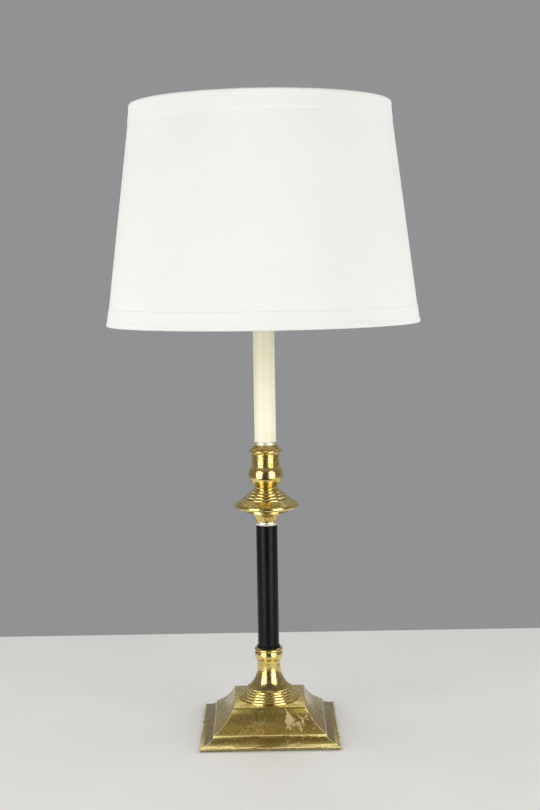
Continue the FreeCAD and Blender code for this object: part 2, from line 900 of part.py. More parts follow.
def make_candle_cup():
    """Two small beads, a bulge, a barrel, and a lip with a sloping shoulder."""
    start = ("pan_neck_radius + cup_neck_step", "pan_top + cup_neck_height")
    end = ("cup_bead_radius", "cup_bulge_foot")
    return turned(
        "candle_cup",
        [
            ("pipe_hole", "pan_top"),
            ("pan_neck_radius", "pan_top"),
            start,
            *beads(start, end, 2, "cup_bead_bulge"),
            end,
            (
                "via",
                "cup_bulge_radius",
                "(cup_bulge_foot + cup_bulge_head) / 2 + cup_bulge_lift",
            ),
            ("(cup_bead_radius + cup_barrel_radius) / 2 + cup_step_width", "cup_bulge_head"),
            ("cup_barrel_radius", "cup_bulge_head + cup_step_height"),
            ("cup_barrel_radius", "pan_top + cup_barrel_top"),
            (
                "via",
                "cup_barrel_radius + (cup_lip_radius - cup_barrel_radius) * 0.3",
                "cup_lip - (cup_lip_height - cup_barrel_top) * 0.35",
            ),
            ("cup_lip_radius", "cup_lip"),
            ("cup_lip_radius", "cup_lip + cup_lip_edge"),
            (
                "via",
                "(cup_lip_radius + cup_mouth_radius) / 2 - cup_shoulder_sag",
                "(cup_lip + cup_lip_edge + cup_top) / 2 - cup_shoulder_sag",
            ),
            ("cup_mouth_radius", "cup_top"),
            ("cup_well_radius", "cup_top"),
            ("cup_well_radius", "pan_top + cup_well_floor"),
            ("pipe_hole", "pan_top + cup_well_floor"),
        ],
    )


def make_candle():
    """The candle's foot ring, its sleeve, and the check ring that closes the sleeve's top."""
    foot_ring = turned(
        "candle_ring",
        [
            ("pipe_hole", "cup_top"),
            ("candle_ring_radius", "cup_top"),
            ("via", "candle_ring_radius + candle_ring_bulge", "cup_top + candle_ring_height / 2"),
            ("candle_ring_radius - candle_ring_taper", "candle_bottom"),
            ("candle_spigot_radius", "candle_bottom"),
            ("candle_spigot_radius", "candle_bottom + candle_spigot"),
            ("pipe_hole", "candle_bottom + candle_spigot"),
        ],
    )
    sleeve = turned(
        "candle_sleeve",
        [
            ("candle_radius - candle_wall", "candle_bottom"),
            ("candle_radius", "candle_bottom"),
            ("candle_radius", "candle_top"),
            ("candle_radius - candle_wall", "candle_top"),
        ],
    )
    check_ring = turned(
        "candle_check_ring",
        [
            ("pipe_hole", "candle_top - candle_spigot"),
            ("candle_spigot_radius", "candle_top - candle_spigot"),
            ("candle_spigot_radius", "candle_top"),
            ("check_ring_radius", "candle_top"),
            (
                "via",
                "check_ring_radius + check_ring_bulge",
                "candle_top + check_ring_height / 2",
            ),
            ("check_ring_radius", "saddle_bottom"),
            ("pipe_hole", "saddle_bottom"),
        ],
    )
    return [foot_ring, sleeve, check_ring]


# ---------------------------------------------------------------- socket and switch


def make_harp_saddle():
    """A bent strap under the socket, with an upright pin for each leg of the harp."""
    saddle = new_body("harp_saddle")
    strap = sketch_in(saddle, "saddle_strap", "XZ_Plane")
    lower = [
        ("saddle_flat", "saddle_bottom"),
        ("leg_offset - saddle_lug", "saddle_bottom + saddle_rise"),
        ("leg_offset + saddle_lug", "saddle_bottom + saddle_rise"),
    ]
    upper = [(x, f"{z} + saddle_thickness") for x, z in reversed(lower)]
    right = lower + upper
    left = [(f"-({x})", z) for x, z in reversed(right)]
    draw_outline(strap, right + left)
    pad_from(saddle, strap, "saddle_width", both_ways=True)
    pins = sketch_in(saddle, "saddle_pins", "XY_Plane", "lug_top")
    for side in ("leg_offset", "-leg_offset"):
        draw_circle(pins, side, "0", "pin_radius")
    pad_from(saddle, pins, "pin_height")
    saddle.Tip = cut_hole(saddle, "saddle_hole", "XY_Plane", "0", "0", "pipe_hole", reverse=True)
    return saddle


def make_socket_cap():
    """The socket's lower cup: a threaded neck, a dome and a straight rim."""
    inner = "socket_cap_radius - sheet_metal"
    return turned(
        "socket_cap",
        [
            ("pipe_thread", "socket_bottom"),
            ("socket_neck_radius", "socket_bottom"),
            ("socket_neck_radius", "socket_dome"),
            (
                "via",
                "socket_neck_radius + (socket_cap_radius - socket_neck_radius) * 0.75",
                "socket_dome + socket_dome_height * 0.3",
            ),
            ("socket_cap_radius", "socket_shoulder"),
            ("socket_cap_radius", "socket_rim"),
            (inner, "socket_rim"),
            (inner, "socket_shoulder"),
            ("socket_neck_radius + sheet_metal", "socket_dome + 2 * sheet_metal"),
            ("pipe_thread", "socket_dome + 2 * sheet_metal"),
        ],
    )


def make_socket_shell():
    """The upper shell, which sits inside the cap's rim and curls in at the top."""
    shell = turned(
        "socket_shell",
        [
            ("socket_shell_outer - sheet_metal", "socket_shell_bottom"),
            ("socket_shell_outer", "socket_shell_bottom"),
            ("socket_shell_outer", "socket_shell_top - socket_curl"),
            ("socket_shell_outer - socket_curl", "socket_shell_top"),
            ("socket_shell_outer - socket_curl", "socket_shell_top - sheet_metal"),
            ("socket_shell_outer - sheet_metal", "socket_shell_top - socket_curl - sheet_metal"),
        ],
    )
    shell.Tip = cut_hole(
        shell, "shell_hole", "XZ_Plane", "0", "switch_axis", "switch_hole_radius", reverse=True
    )
    return shell


def make_insulating_sleeve():
    top = "socket_shell_top - socket_curl - insulator_end"
    sleeve = turned(
        "insulating_sleeve",
        [
            ("insulator_inner", "socket_shell_bottom"),
            ("insulator_outer", "socket_shell_bottom"),
            ("insulator_outer", top),
            ("insulator_inner", top),
        ],
    )
    sleeve.Tip = cut_hole(
        sleeve, "sleeve_hole", "XZ_Plane", "0", "switch_axis", "switch_hole_radius", reverse=True
    )
    return sleeve


def make_switch_body():
    body = turned(
        "switch_body",
        [
            ("0", "switch_body_bottom"),
            ("switch_body_radius", "switch_body_bottom"),
            ("switch_body_radius", "switch_body_top"),
            ("0", "switch_body_top"),
        ],
    )
    body.Tip = cut_hole(
        body,
        "shaft_bearing",
        "XZ_Plane",
        "0",
        "switch_axis",
        "switch_shaft_radius + switch_running_fit",
        offset="switch_shaft_start - rest_gap",
        reverse=True,
        length="switch_body_radius",
    )
    return body


def make_socket_fittings():
    """Screw shell, centre contact, terminal screws and the neck's set screw."""
    screw_shell = turned(
        "screw_shell",
        [
            ("screw_shell_radius", "switch_body_top"),
            ("screw_shell_radius + screw_shell_wall", "switch_body_top"),
            ("screw_shell_radius + screw_shell_wall", "switch_body_top + screw_shell_height"),
            ("screw_shell_radius", "switch_body_top + screw_shell_height"),
        ],
    )
    contact = cylinder("centre_contact", "contact_radius", "switch_body_top", "contact_thickness")
    terminals = new_body("terminal_screws")
    heads = sketch_in(terminals, "terminal_heads", "XY_Plane", "switch_body_bottom - terminal_height")
    for side in ("terminal_offset", "-terminal_offset"):
        draw_circle(heads, side, "0", "terminal_radius")
    pad_from(terminals, heads, "terminal_height")
    screw_height = "socket_bottom + socket_neck_height / 2"
    set_screw = part_object(
        "Part::Cylinder",
        "socket_set_screw",
        Radius="set_screw_radius",
        Height="set_screw_length",
        Placement__Base__y="socket_neck_radius",
        Placement__Base__z=screw_height,
    )
    set_screw.Placement.Rotation = Rotation(Vector(1, 0, 0), -90)
    return [screw_shell, contact, terminals, set_screw]


def make_switch():
    """The switch's shaft and its ribbed knob, turned upright and laid along -Y."""
    lay_forward = Placement(Vector(0, 0, 0), Rotation(Vector(1, 0, 0), 90))
    shaft = part_object(
        "Part::Cylinder",
        "switch_shaft",
        Radius="switch_shaft_radius",
        Height="switch_shaft_end - switch_shaft_start",
    )
    shaft.Placement = lay_forward
    bind(shaft, Placement__Base__y="-switch_shaft_start", Placement__Base__z="switch_axis")
    knob_end = "knob_start + knob_length"
    knob = turned(
        "switch_knob",
        [
            ("switch_shaft_radius + switch_running_fit / 2", "knob_start"),
            ("knob_neck_radius", "knob_start"),
            ("knob_neck_radius", "knob_start + knob_length / 4"),
            ("knob_radius", "knob_start + knob_length / 3"),
            ("knob_radius * 0.92", "knob_start + knob_length * 0.85"),
            ("knob_radius * 0.7", knob_end),
            ("0", knob_end),
            ("0", "knob_start + knob_bore_depth"),
            ("switch_shaft_radius + switch_running_fit / 2", "knob_start + knob_bore_depth"),
        ],
    )
    groove = sketch_in(knob, "knob_groove", "XY_Plane", "knob_start + knob_length / 4")
    draw_circle(groove, "knob_radius + knob_rib_radius * 0.4", "0", "knob_rib_radius")
    doc.recompute()
    cut = knob.newObject("PartDesign::Pocket", "knob_groove_cut")
    cut.Profile = groove
    cut.Type = "ThroughAll"
    cut.Reversed = True
    doc.recompute()
    ring = knob.newObject("PartDesign::PolarPattern", "knob_grooves")
    ring.Originals = [cut]
    ring.Axis = (groove, ["N_Axis"])
    ring.Angle = 360
    ring.Occurrences = 18
    knob.Tip = ring
    knob.Placement = lay_forward
    bind(knob, Placement__Base__z="switch_axis")
    return [shaft, knob]


# ---------------------------------------------------------------- bulb


def bulb_height(offset):
    return f"bulb_bottom + {offset}"


def make_bulb_cap_parts():
    """The contact tip, its black insulator and the screw cap."""
    tip = turned(
        "bulb_tip",
        [
            ("0", "bulb_bottom"),
            ("via", "bulb_tip_radius * 0.75", bulb_height("bulb_tip_height * 0.25")),
            ("bulb_tip_radius", bulb_height("bulb_tip_height * 0.7")),
            ("bulb_tip_radius", bulb_height("bulb_tip_height")),
            ("0", bulb_height("bulb_tip_height")),
        ],
    )
    tip_hole = "bulb_tip_radius + bulb_tip_fit"
    insulator_top = bulb_height("bulb_cap_bottom + bulb_insulator_thickness")
    insulator = turned(
        "bulb_insulator",
        [
            (tip_hole, bulb_height("bulb_tip_height * 0.7")),
            ("bulb_insulator_radius", bulb_height("bulb_cap_bottom")),
            ("bulb_insulator_radius", insulator_top),
            (tip_hole, insulator_top),
        ],
    )
    cap_inner = "bulb_cap_radius - bulb_cap_wall"
    shoulder = bulb_height("bulb_cap_bottom + bulb_cap_shoulder_height")
    cap = turned(
        "bulb_screw_cap",
        [
            ("bulb_insulator_radius", bulb_height("bulb_cap_bottom")),
            ("bulb_cap_radius - bulb_cap_shoulder", shoulder),
            ("bulb_cap_radius", bulb_height("bulb_cap_bottom + bulb_cap_taper_height")),
            ("bulb_cap_radius", bulb_height("bulb_cap_top")),
            (cap_inner, bulb_height("bulb_cap_top")),
            (cap_inner, bulb_height("bulb_cap_bottom + bulb_cap_taper_height + bulb_cap_wall")),
            ("bulb_insulator_radius", insulator_top),
        ],
    )
    return [tip, insulator, cap]


def make_bulb_glass():
    """A pear-shaped glass shell, open at the neck inside the cap.

    The globe's points lie on one sphere about the z axis: a 3-4-5 and a 7-24-25 triangle and
    the small flat at the crown.
    """
    centre = bulb_height("bulb_length - bulb_radius")

    def wall(inset):
        radius = f"(bulb_radius - {inset})"
        neck = f"bulb_neck_radius - {inset}"
        join = (f"{radius} * 0.8", f"{centre} - {radius} * 0.6")
        crown = f"{centre} + sqrt({radius} ^ 2 - bulb_crown_flat ^ 2)"
        return [
            (neck, bulb_height("bulb_stem_base - bulb_neck_lap")),
            (neck, bulb_height("bulb_neck_top")),
            (
                "via",
                f"bulb_neck_radius + (bulb_radius - bulb_neck_radius) * 0.22 - {inset}",
                f"(bulb_bottom + bulb_neck_top + {join[1]}) / 2",
            ),
            join,
            ("via", f"{radius} * 0.96", f"{centre} + {radius} * 0.28"),
            ("bulb_crown_flat", crown),
            ("0", crown),
        ]

    return turned("bulb_glass", wall("0") + wall("bulb_glass_wall")[::-1])


def make_bulb_mount():
    """The glass stem, its two lead wires and the filament between them."""
    stem = turned(
        "bulb_stem",
        [
            ("0", bulb_height("bulb_stem_base")),
            ("bulb_neck_radius - 2 * bulb_glass_wall", bulb_height("bulb_stem_base")),
            ("bulb_stem_radius", bulb_height("bulb_stem_base + bulb_stem_flare")),
            ("bulb_stem_radius", bulb_height("bulb_stem_top")),
            ("0", bulb_height("bulb_stem_top")),
        ],
    )
    leads = new_body("bulb_leads")
    for number, side in enumerate(("", "-")):
        corners = [
            (f"{side}lead_root", bulb_height("bulb_stem_top")),
            (f"{side}lead_root", bulb_height("bulb_stem_top + lead_straight")),
            (f"{side}lead_spread", bulb_height("lead_top")),
        ]
        bent_wire(leads, f"lead_{number + 1}", corners, ["lead_bend"], "lead_radius", "XY_Plane")
    filament = new_body("filament")
    droop = bulb_height("lead_top + filament_radius + lead_radius - filament_sag")
    ends = bulb_height("lead_top + filament_radius + lead_radius")
    corners = [
        ("-lead_spread", ends),
        ("-lead_spread / 2", ends),
        ("0", droop),
        ("lead_spread / 2", ends),
        ("lead_spread", ends),
    ]
    bends = ["filament_bend"] * 3
    bent_wire(filament, "filament_wire", corners, bends, "filament_radius", "YZ_Plane")
    return [stem, leads, filament]


# ---------------------------------------------------------------- harp, stud and finial


def make_harp():
    """One wire, bent from leg to leg, with a flat eye at the top for the stud."""
    harp = new_body("harp")
    flare_top = "leg_bottom + harp_leg_straight + harp_flare_rise"
    right = [
        ("leg_offset", "leg_bottom"),
        ("leg_offset", "leg_bottom + harp_leg_straight"),
        ("harp_half_width", flare_top),
        ("harp_half_width", "harp_top_centre - harp_shoulder_drop"),
        ("harp_flat_half", "harp_top_centre"),
    ]
    left = [(f"-({x})", z) for x, z in reversed(right)]
    bends = ["harp_leg_bend", "harp_side_bend", "harp_side_bend", "harp_top_bend"]
    bent_wire(harp, "harp_wire", right + left, bends + bends[::-1], "harp_wire_radius", "XY_Plane")
    eye = sketch_in(harp, "harp_eye", "XY_Plane", "harp_eye_bottom")
    draw_circle(eye, "0", "0", "harp_eye_radius")
    pad_from(harp, eye, "2 * harp_wire_radius")
    harp.Tip = cut_hole(
        harp,
        "harp_eye_hole",
        "XY_Plane",
        "0",
        "0",
        "stud_shank_radius + stud_running_fit",
        reverse=True,
    )
    return harp


def make_harp_sleeve(label, side):
    """A brass sleeve that locks a leg of the harp to its pin."""
    bore = "pin_radius + sleeve_fit"
    outer = f"{bore} + sleeve_wall"
    bottom = "leg_bottom - sleeve_drop"
    sleeve = turned(
        label,
        [
            (bore, bottom),
            (f"{outer} + sleeve_flange", bottom),
            (f"{outer} + sleeve_flange", f"{bottom} + sleeve_flange_height"),
            (outer, f"{bottom} + 2 * sleeve_flange_height"),
            (outer, f"{bottom} + sleeve_length"),
            (bore, f"{bottom} + sleeve_length"),
        ],
    )
    bind(sleeve, Placement__Base__x=f"{side}leg_offset")
    return sleeve


def make_harp_stud():
    """The swivel stud: rivet head, shank, seat and the thread for the finial."""
    rivet_top = "harp_eye_bottom - rest_gap"
    return turned(
        "harp_stud",
        [
            ("0", f"{rivet_top} - rivet_height"),
            ("rivet_radius * 0.7", f"{rivet_top} - rivet_height"),
            ("rivet_radius", rivet_top),
            ("stud_shank_radius", rivet_top),
            ("stud_shank_radius", "seat_bottom"),
            ("seat_radius", "seat_bottom"),
            ("seat_radius", "seat_top"),
            ("stud_thread_radius", "seat_top"),
            ("stud_thread_radius", "stud_top"),
            ("0", "stud_top"),
        ],
    )


def make_finial():
    """A ball finial, and the threaded insert that is let into its foot.

    The ball's three points lie on one sphere about the z axis.
    """
    insert_top = "finial_bottom + insert_length"
    insert = turned(
        "finial_insert",
        [
            ("stud_thread_radius + insert_fit", "finial_bottom"),
            ("insert_radius", "finial_bottom"),
            ("insert_radius", insert_top),
            ("stud_thread_radius + insert_fit", insert_top),
        ],
    )
    top = "finial_bottom + finial_height"
    ball_centre = f"({top} - finial_tip_height - finial_ball_radius * 0.96)"
    finial = turned(
        "finial",
        [
            ("insert_radius + insert_fit", "finial_bottom"),
            ("finial_foot_radius", "finial_bottom"),
            ("finial_foot_radius", "finial_bottom + finial_foot_edge"),
            ("finial_neck_radius", "finial_bottom + finial_foot_height"),
            ("finial_ball_radius * 0.7", f"{ball_centre} - finial_ball_radius * sqrt(0.51)"),
            ("via", "finial_ball_radius", ball_centre),
            ("finial_ball_radius * 0.28", f"{top} - finial_tip_height"),
            ("finial_ball_radius * 0.2", f"{top} - finial_tip_height / 4"),
            ("0", top),
            ("0", "stud_top + insert_radius"),
            ("insert_radius + insert_fit", "stud_top + rest_gap"),
        ],
    )
    return [insert, finial]


# ---------------------------------------------------------------- shade


def make_shade_shell():
    return turned(
        "shade_shell",
        [
            ("shell_bottom_radius - shade_wall", "shell_bottom"),
            ("shell_bottom_radius", "shell_bottom"),
            ("shell_top_radius", "shell_top"),
            ("shell_top_radius - shade_wall", "shell_top"),
        ],
    )


def trim(label, end, inward, flare):
    """A fabric band folded over the top or bottom rim of the shade and round its wire ring.

    inward is + where the shade lies above its end or - where it lies below, and flare is the sign
    of the change in its radius on the way in.
    """
    radius, edge, rim = f"shell_{end}_radius", f"shell_{end}", f"shade_{end}"

    def away(distance):
        return f"{rim} {inward} {distance}"

    def skin(distance):
        return f"{radius} {flare} ({distance} - trim_thickness) * shade_slope"

    return turned(
        label,
        [
            (radius, edge),
            (skin("trim_band"), away("trim_band")),
            (f"{skin('trim_band')} + trim_thickness", away("trim_band")),
            (f"{skin('rim_bead_height')} + trim_thickness", away("rim_bead_height")),
            ("via", f"shade_{end}_radius", away("rim_bead_height * 0.4")),
            (f"{radius} + trim_thickness / 2", rim),
            (f"{radius} - fold_depth", rim),
            (f"{radius} - fold_depth", away("trim_fold")),
            (f"{radius} - fold_depth + trim_thickness", away("trim_fold")),
            (f"{radius} - fold_depth + trim_thickness", edge),
        ],
    )


def wire_ring(label, radius, height):
    return part_object(
        "Part::Torus",
        label,
        Radius1=radius,
        Radius2="shade_wire_radius",
        Placement__Base__z=height,
    )


def make_spider_arms():
    """Arms from the hub out to the top ring, where each turns up to meet it."""
    arms = new_body("spider_arms")
    corners = [
        ("arm_start", "arm_height"),
        ("top_ring_radius", "arm_height"),
        ("top_ring_radius", "arm_end"),
    ]
    first = bent_wire(arms, "arm", corners, ["arm_bend"], "arm_radius", "YZ_Plane")
    doc.recompute()
    upright = [axis for axis in arms.Origin.OriginFeatures if axis.Role == "Z_Axis"]
    ring = arms.newObject("PartDesign::PolarPattern", "arm_ring")
    ring.Originals = [first]
    ring.Axis = (upright[0], [""])
    ring.Angle = 360
    bind(ring, Occurrences="arm_count")
    arms.Tip = ring
    arms.Placement = Placement(Vector(0, 0, 0), Rotation(Vector(0, 0, 1), 90))
    return arms


def make_shade():
    hub = turned(
        "spider_hub",
        [
            ("hub_hole_radius", "harp_seat"),
            ("hub_radius", "harp_seat"),
            ("hub_radius", "hub_top"),
            ("hub_hole_radius", "hub_top"),
        ],
    )
    return [
        make_shade_shell(),
        trim("shade_top_trim", "top", "-", "+"),
        trim("shade_bottom_trim", "bottom", "+", "-"),
        wire_ring("shade_top_ring", "top_ring_radius", "top_ring_height"),
        wire_ring("shade_bottom_ring", "bottom_ring_radius", "bottom_ring_height"),
        hub,
        make_spider_arms(),
    ]


# ---------------------------------------------------------------- the whole lamp

nodes = [
    make_plinth(),
    *make_base_fillings(),
    make_cord_bushing(),
    make_lamp_pipe(),
    make_stem_foot(),
    make_foot_collar(),
    make_lower_ring(),
    make_column_tube(),
    make_upper_ring(),
    make_drip_pan(),
    make_candle_cup(),
    *make_candle(),
    make_harp_saddle(),
    hex_nut("saddle_nut", "saddle_top", "saddle_nut_height"),
    make_socket_cap(),
    make_socket_shell(),
    make_insulating_sleeve(),
    make_switch_body(),
    *make_socket_fittings(),
    *make_switch(),
    *make_bulb_cap_parts(),
    make_bulb_glass(),
    *make_bulb_mount(),
    make_harp(),
    make_harp_sleeve("harp_sleeve_left", "-"),
    make_harp_sleeve("harp_sleeve_right", ""),
    make_harp_stud(),
    *make_finial(),
    *make_shade(),
]
doc.recompute()

for thing in doc.Objects:
    failed = {"Invalid", "Error"} & set(thing.State)
    assert not failed, f"{thing.Label} did not recompute"
for node in nodes:
    assert not node.Shape.isNull() and node.Shape.isValid(), f"{node.Label} has no valid shape"

os.makedirs("parts", exist_ok=True)
for node in nodes:
    node.Shape.exportStep(f"parts/{node.Label}.step")
    print(f"{node.Label}: {len(node.Shape.Solids)} solid(s), {node.Shape.Volume / 1000:.2f} cm3")
print(f"{len(nodes)} nodes, {value('shade_top'):.1f} mm high")
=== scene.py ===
"""Looks of the candlestick lamp: the finish of each solid, and the cloth, threads and worn edges.

Lengths are metres, in the frame of the solids. The lamp stands on z = 0 and its front faces -Y.
"""

import math

import bpy
from mathutils import Euler, Matrix, Vector


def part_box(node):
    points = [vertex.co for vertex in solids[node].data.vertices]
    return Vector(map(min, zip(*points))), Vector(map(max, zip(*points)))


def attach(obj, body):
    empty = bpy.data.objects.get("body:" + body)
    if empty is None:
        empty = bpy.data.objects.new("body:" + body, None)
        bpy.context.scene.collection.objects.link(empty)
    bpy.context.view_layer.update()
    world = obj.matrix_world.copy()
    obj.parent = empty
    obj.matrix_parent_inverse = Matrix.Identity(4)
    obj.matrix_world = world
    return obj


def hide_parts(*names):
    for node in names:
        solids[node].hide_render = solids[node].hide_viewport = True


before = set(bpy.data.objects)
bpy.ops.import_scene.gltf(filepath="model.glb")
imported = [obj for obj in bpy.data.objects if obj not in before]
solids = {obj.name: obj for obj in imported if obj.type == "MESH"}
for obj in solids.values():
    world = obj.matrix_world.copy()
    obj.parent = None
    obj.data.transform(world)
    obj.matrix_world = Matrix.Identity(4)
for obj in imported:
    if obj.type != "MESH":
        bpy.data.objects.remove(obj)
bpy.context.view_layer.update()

MM = 0.001
ROUND = 192  # sides of a large turned piece


# ---------------------------------------------------------------- shader maths


class Signal:
    """A socket of a finish's nodes that adds, subtracts and multiplies like a number."""

    def __init__(self, finish, socket):
        self.finish = finish
        self.socket = socket

    def maths(self, operation, first, second):
        return self.finish.add("ShaderNodeMath", {"operation": operation}, {0: first, 1: second})

    def __add__(self, other):
        return self.maths("ADD", self, other)

    def __radd__(self, other):
        return self.maths("ADD", other, self)

    def __sub__(self, other):
        return self.maths("SUBTRACT", self, other)

    def __rsub__(self, other):
        return self.maths("SUBTRACT", other, self)

    def __mul__(self, other):
        return self.maths("MULTIPLY", self, other)

    def __rmul__(self, other):
        return self.maths("MULTIPLY", other, self)


class Finish:
    """A material, with one method that adds any node and short ones for the usual patterns."""

    def __init__(self, name):
        self.material = bpy.data.materials.new(name)
        self.material.use_nodes = True
        self.nodes = self.material.node_tree.nodes
        self.nodes.clear()
        self.place = self.add("ShaderNodeTexCoord", output="Object")

    def add(self, kind, settings=None, sockets=None, output=0):
        """Add a node: its settings first, then the values or signals of its sockets."""
        node = self.nodes.new(kind)
        for name, setting in (settings or {}).items():
            setattr(node, name, setting)
        for name, content in (sockets or {}).items():
            socket = node.inputs[name]
            if isinstance(content, Signal):
                self.material.node_tree.links.new(content.socket, socket)
            elif socket.type == "RGBA":
                socket.default_value = (*content, 1)
            else:
                socket.default_value = content
        return Signal(self, node.outputs[output])

    def stretch(self, scale):
        """The object's own coordinates, scaled along each axis."""
        return self.add("ShaderNodeMapping", None, {"Vector": self.place, "Scale": scale})

    def noise(self, scale, detail=4.0, roughness=0.6, where=None):
        """Clouds from 0 to 1; scale is roughly how many of them go into a metre."""
        sockets = {
            "Vector": where or self.place,
            "Scale": scale,
            "Detail": detail,
            "Roughness": roughness,
        }
        return self.add("ShaderNodeTexNoise", None, sockets)

    def between(self, signal, low, high):
        """0 below low, 1 above high, and smooth in between; the other way round if low > high."""
        sockets = {"Value": signal, "From Min": low, "From Max": high}
        return self.add("ShaderNodeMapRange", {"interpolation_type": "SMOOTHSTEP"}, sockets)

    def mix(self, share, first, second):
        """A colour between two."""
        settings = {"data_type": "RGBA"}
        return self.add("ShaderNodeMix", settings, {0: share, 6: first, 7: second}, output=2)

    def axes(self):
        """The x, y and z of the object's own coordinates, one signal each."""
        node = self.add("ShaderNodeSeparateXYZ", None, {"Vector": self.place}).socket.node
        return [Signal(self, output) for output in node.outputs]

    def larger(self, first, second):
        """The larger of two signals at each place."""
        return self.add("ShaderNodeMath", {"operation": "MAXIMUM"}, {0: first, 1: second})

    def size_of(self, signal):
        """A signal without its sign."""
        return self.add("ShaderNodeMath", {"operation": "ABSOLUTE"}, {0: signal})

    def length_of(self, vector):
        settings = {"operation": "LENGTH"}
        return self.add("ShaderNodeVectorMath", settings, {0: vector}, output="Value")

    def bump(self, height, distance, strength=1.0, normal=None):
        """Relief from a height signal, at most distance deep, on top of another relief."""
        sockets = {"Height": height, "Distance": distance, "Strength": strength}
        if normal:
            sockets["Normal"] = normal
        return self.add("ShaderNodeBump", None, sockets)

    def surface(self, **sockets):
        """Close the material with a Principled shader; underscores stand for spaces."""
        named = {name.replace("_", " "): content for name, content in sockets.items()}
        shader = self.add("ShaderNodeBsdfPrincipled", None, named, output="BSDF")
        output = self.nodes.new("ShaderNodeOutputMaterial")
        self.material.node_tree.links.new(shader.socket, output.inputs["Surface"])
        return self.material


# ---------------------------------------------------------------- finishes

CLOTH_LIGHT = (0.93, 0.915, 0.88)
CLOTH_SHADED = (0.88, 0.86, 0.81)


def turned_brass():
    """Polished brass off the lathe: fine rings, clouds of tarnish, dark and greenish spots."""
    polished, ochre = (0.90, 0.70, 0.26), (0.60, 0.41, 0.09)
    olive, spot = (0.38, 0.32, 0.06), (0.10, 0.07, 0.03)
    f = Finish("turned_brass")
    cloud = f.noise(46, 3, 0.55)
    mottle = f.noise(190, 5, 0.68)
    spots = f.noise(430, 4, 0.65)
    lathe = f.noise(1, 2, 0.5, f.stretch((40, 40, 4200)))
    dulled = f.between(cloud * 0.5 + mottle * 0.5, 0.47, 0.60)
    greened = f.between(mottle, 0.56, 0.68) * f.between(cloud, 0.58, 0.44)
    spotted = f.between(spots, 0.54, 0.62) * f.between(cloud, 0.40, 0.56)
    colour = f.mix(dulled * 0.75, polished, ochre)
    colour = f.mix(greened * 0.6, colour, olive)
    colour = f.mix(spotted * 0.85, colour, spot)
    rough = 0.12 + mottle * 0.08 + dulled * 0.1 + spotted * 0.25
    ringed = f.bump(lathe, 0.00004, 0.3)
    normal = f.bump(mottle * 0.5 - spotted * 0.5, 0.00015, 0.35, ringed)
    return f.surface(Base_Color=colour, Metallic=1.0, Roughness=rough, Normal=normal)


def flaked_patch(f):
    """Where the lacquer has flaked off the front of the plinth: ragged streaks that join up.

    Each streak is its middle (x, z), its half width and half length, all in mm, and its tilt in
    degrees. It reaches through the skin of the front, which is about 54 mm forward there.
    """
    skin, half_depth = -54, 14
    streaks = [
        (21.6, 34.2, 1.0, 4.8, -34),
        (23.0, 29.6, 3.4, 3.0, 0),
        (24.2, 26.0, 5.2, 4.0, 0),
        (21.8, 20.8, 0.9, 3.6, 57),
        (24.0, 19.8, 1.0, 3.4, -22),
        (30.0, 22.6, 1.0, 4.6, 59),
        (34.6, 22.9, 2.9, 2.4, 0),
        (37.2, 18.9, 1.7, 3.6, -28),
        (39.9, 25.9, 1.3, 2.8, 0),
        (36.4, 29.4, 0.6, 4.0, -52),
        (42.6, 28.8, 0.5, 2.0, 50),
        (44.4, 30.5, 1.2, 1.1, 0),
        (45.8, 27.5, 1.3, 0.7, 0),
        (42.3, 36.5, 0.7, 0.6, 0),
        (41.4, 22.1, 0.8, 0.6, 0),
        (52.3, 19.0, 0.9, 0.8, 0),
    ]
    ragged = f.noise(300, 5, 0.75)
    patch = None
    for x, z, half_width, half_length, tilt in streaks:
        place = {
            "Vector": f.place,
            "Location": (x * MM, skin * MM, z * MM),
            "Rotation": (0, math.radians(tilt), 0),
            "Scale": (half_width * MM, half_depth * MM, half_length * MM),
        }
        reach = f.length_of(f.add("ShaderNodeMapping", {"vector_type": "TEXTURE"}, place))
        streak = f.between(reach + ragged * 3.2, 2.75, 2.55)
        patch = f.larger(patch, streak) if patch else streak
    return patch


def worn_and_highlit_edges(f, edges):
    """Bright lines on a square moulding, its mitres and the given edges: partly wear where cloths
    have rubbed it, partly painted highlight.

    Each edge is its (half width, height) in mm.
    """
    x, y, z = f.axes()
    across, along = f.size_of(x), f.size_of(y)
    ends = {"X": f.larger(across, along), "Y": z}
    profile = f.add("ShaderNodeCombineXYZ", None, ends)
    mitre = f.size_of(across - along)
    above_table = f.between(z, 2 * MM, 6 * MM)
    # rubbed marks bright mitres: partly wear, partly a painted highlight
    rubbed = f.between(mitre, 1.4 * MM, 0.2 * MM) * above_table
    for half, height in edges:
        settings = {"operation": "DISTANCE"}
        corner = {0: profile, 1: (half * MM, height * MM, 0)}
        away = f.add("ShaderNodeVectorMath", settings, corner, output="Value")
        rubbed = f.larger(rubbed, f.between(away, 1.3 * MM, 0.3 * MM))
    return rubbed


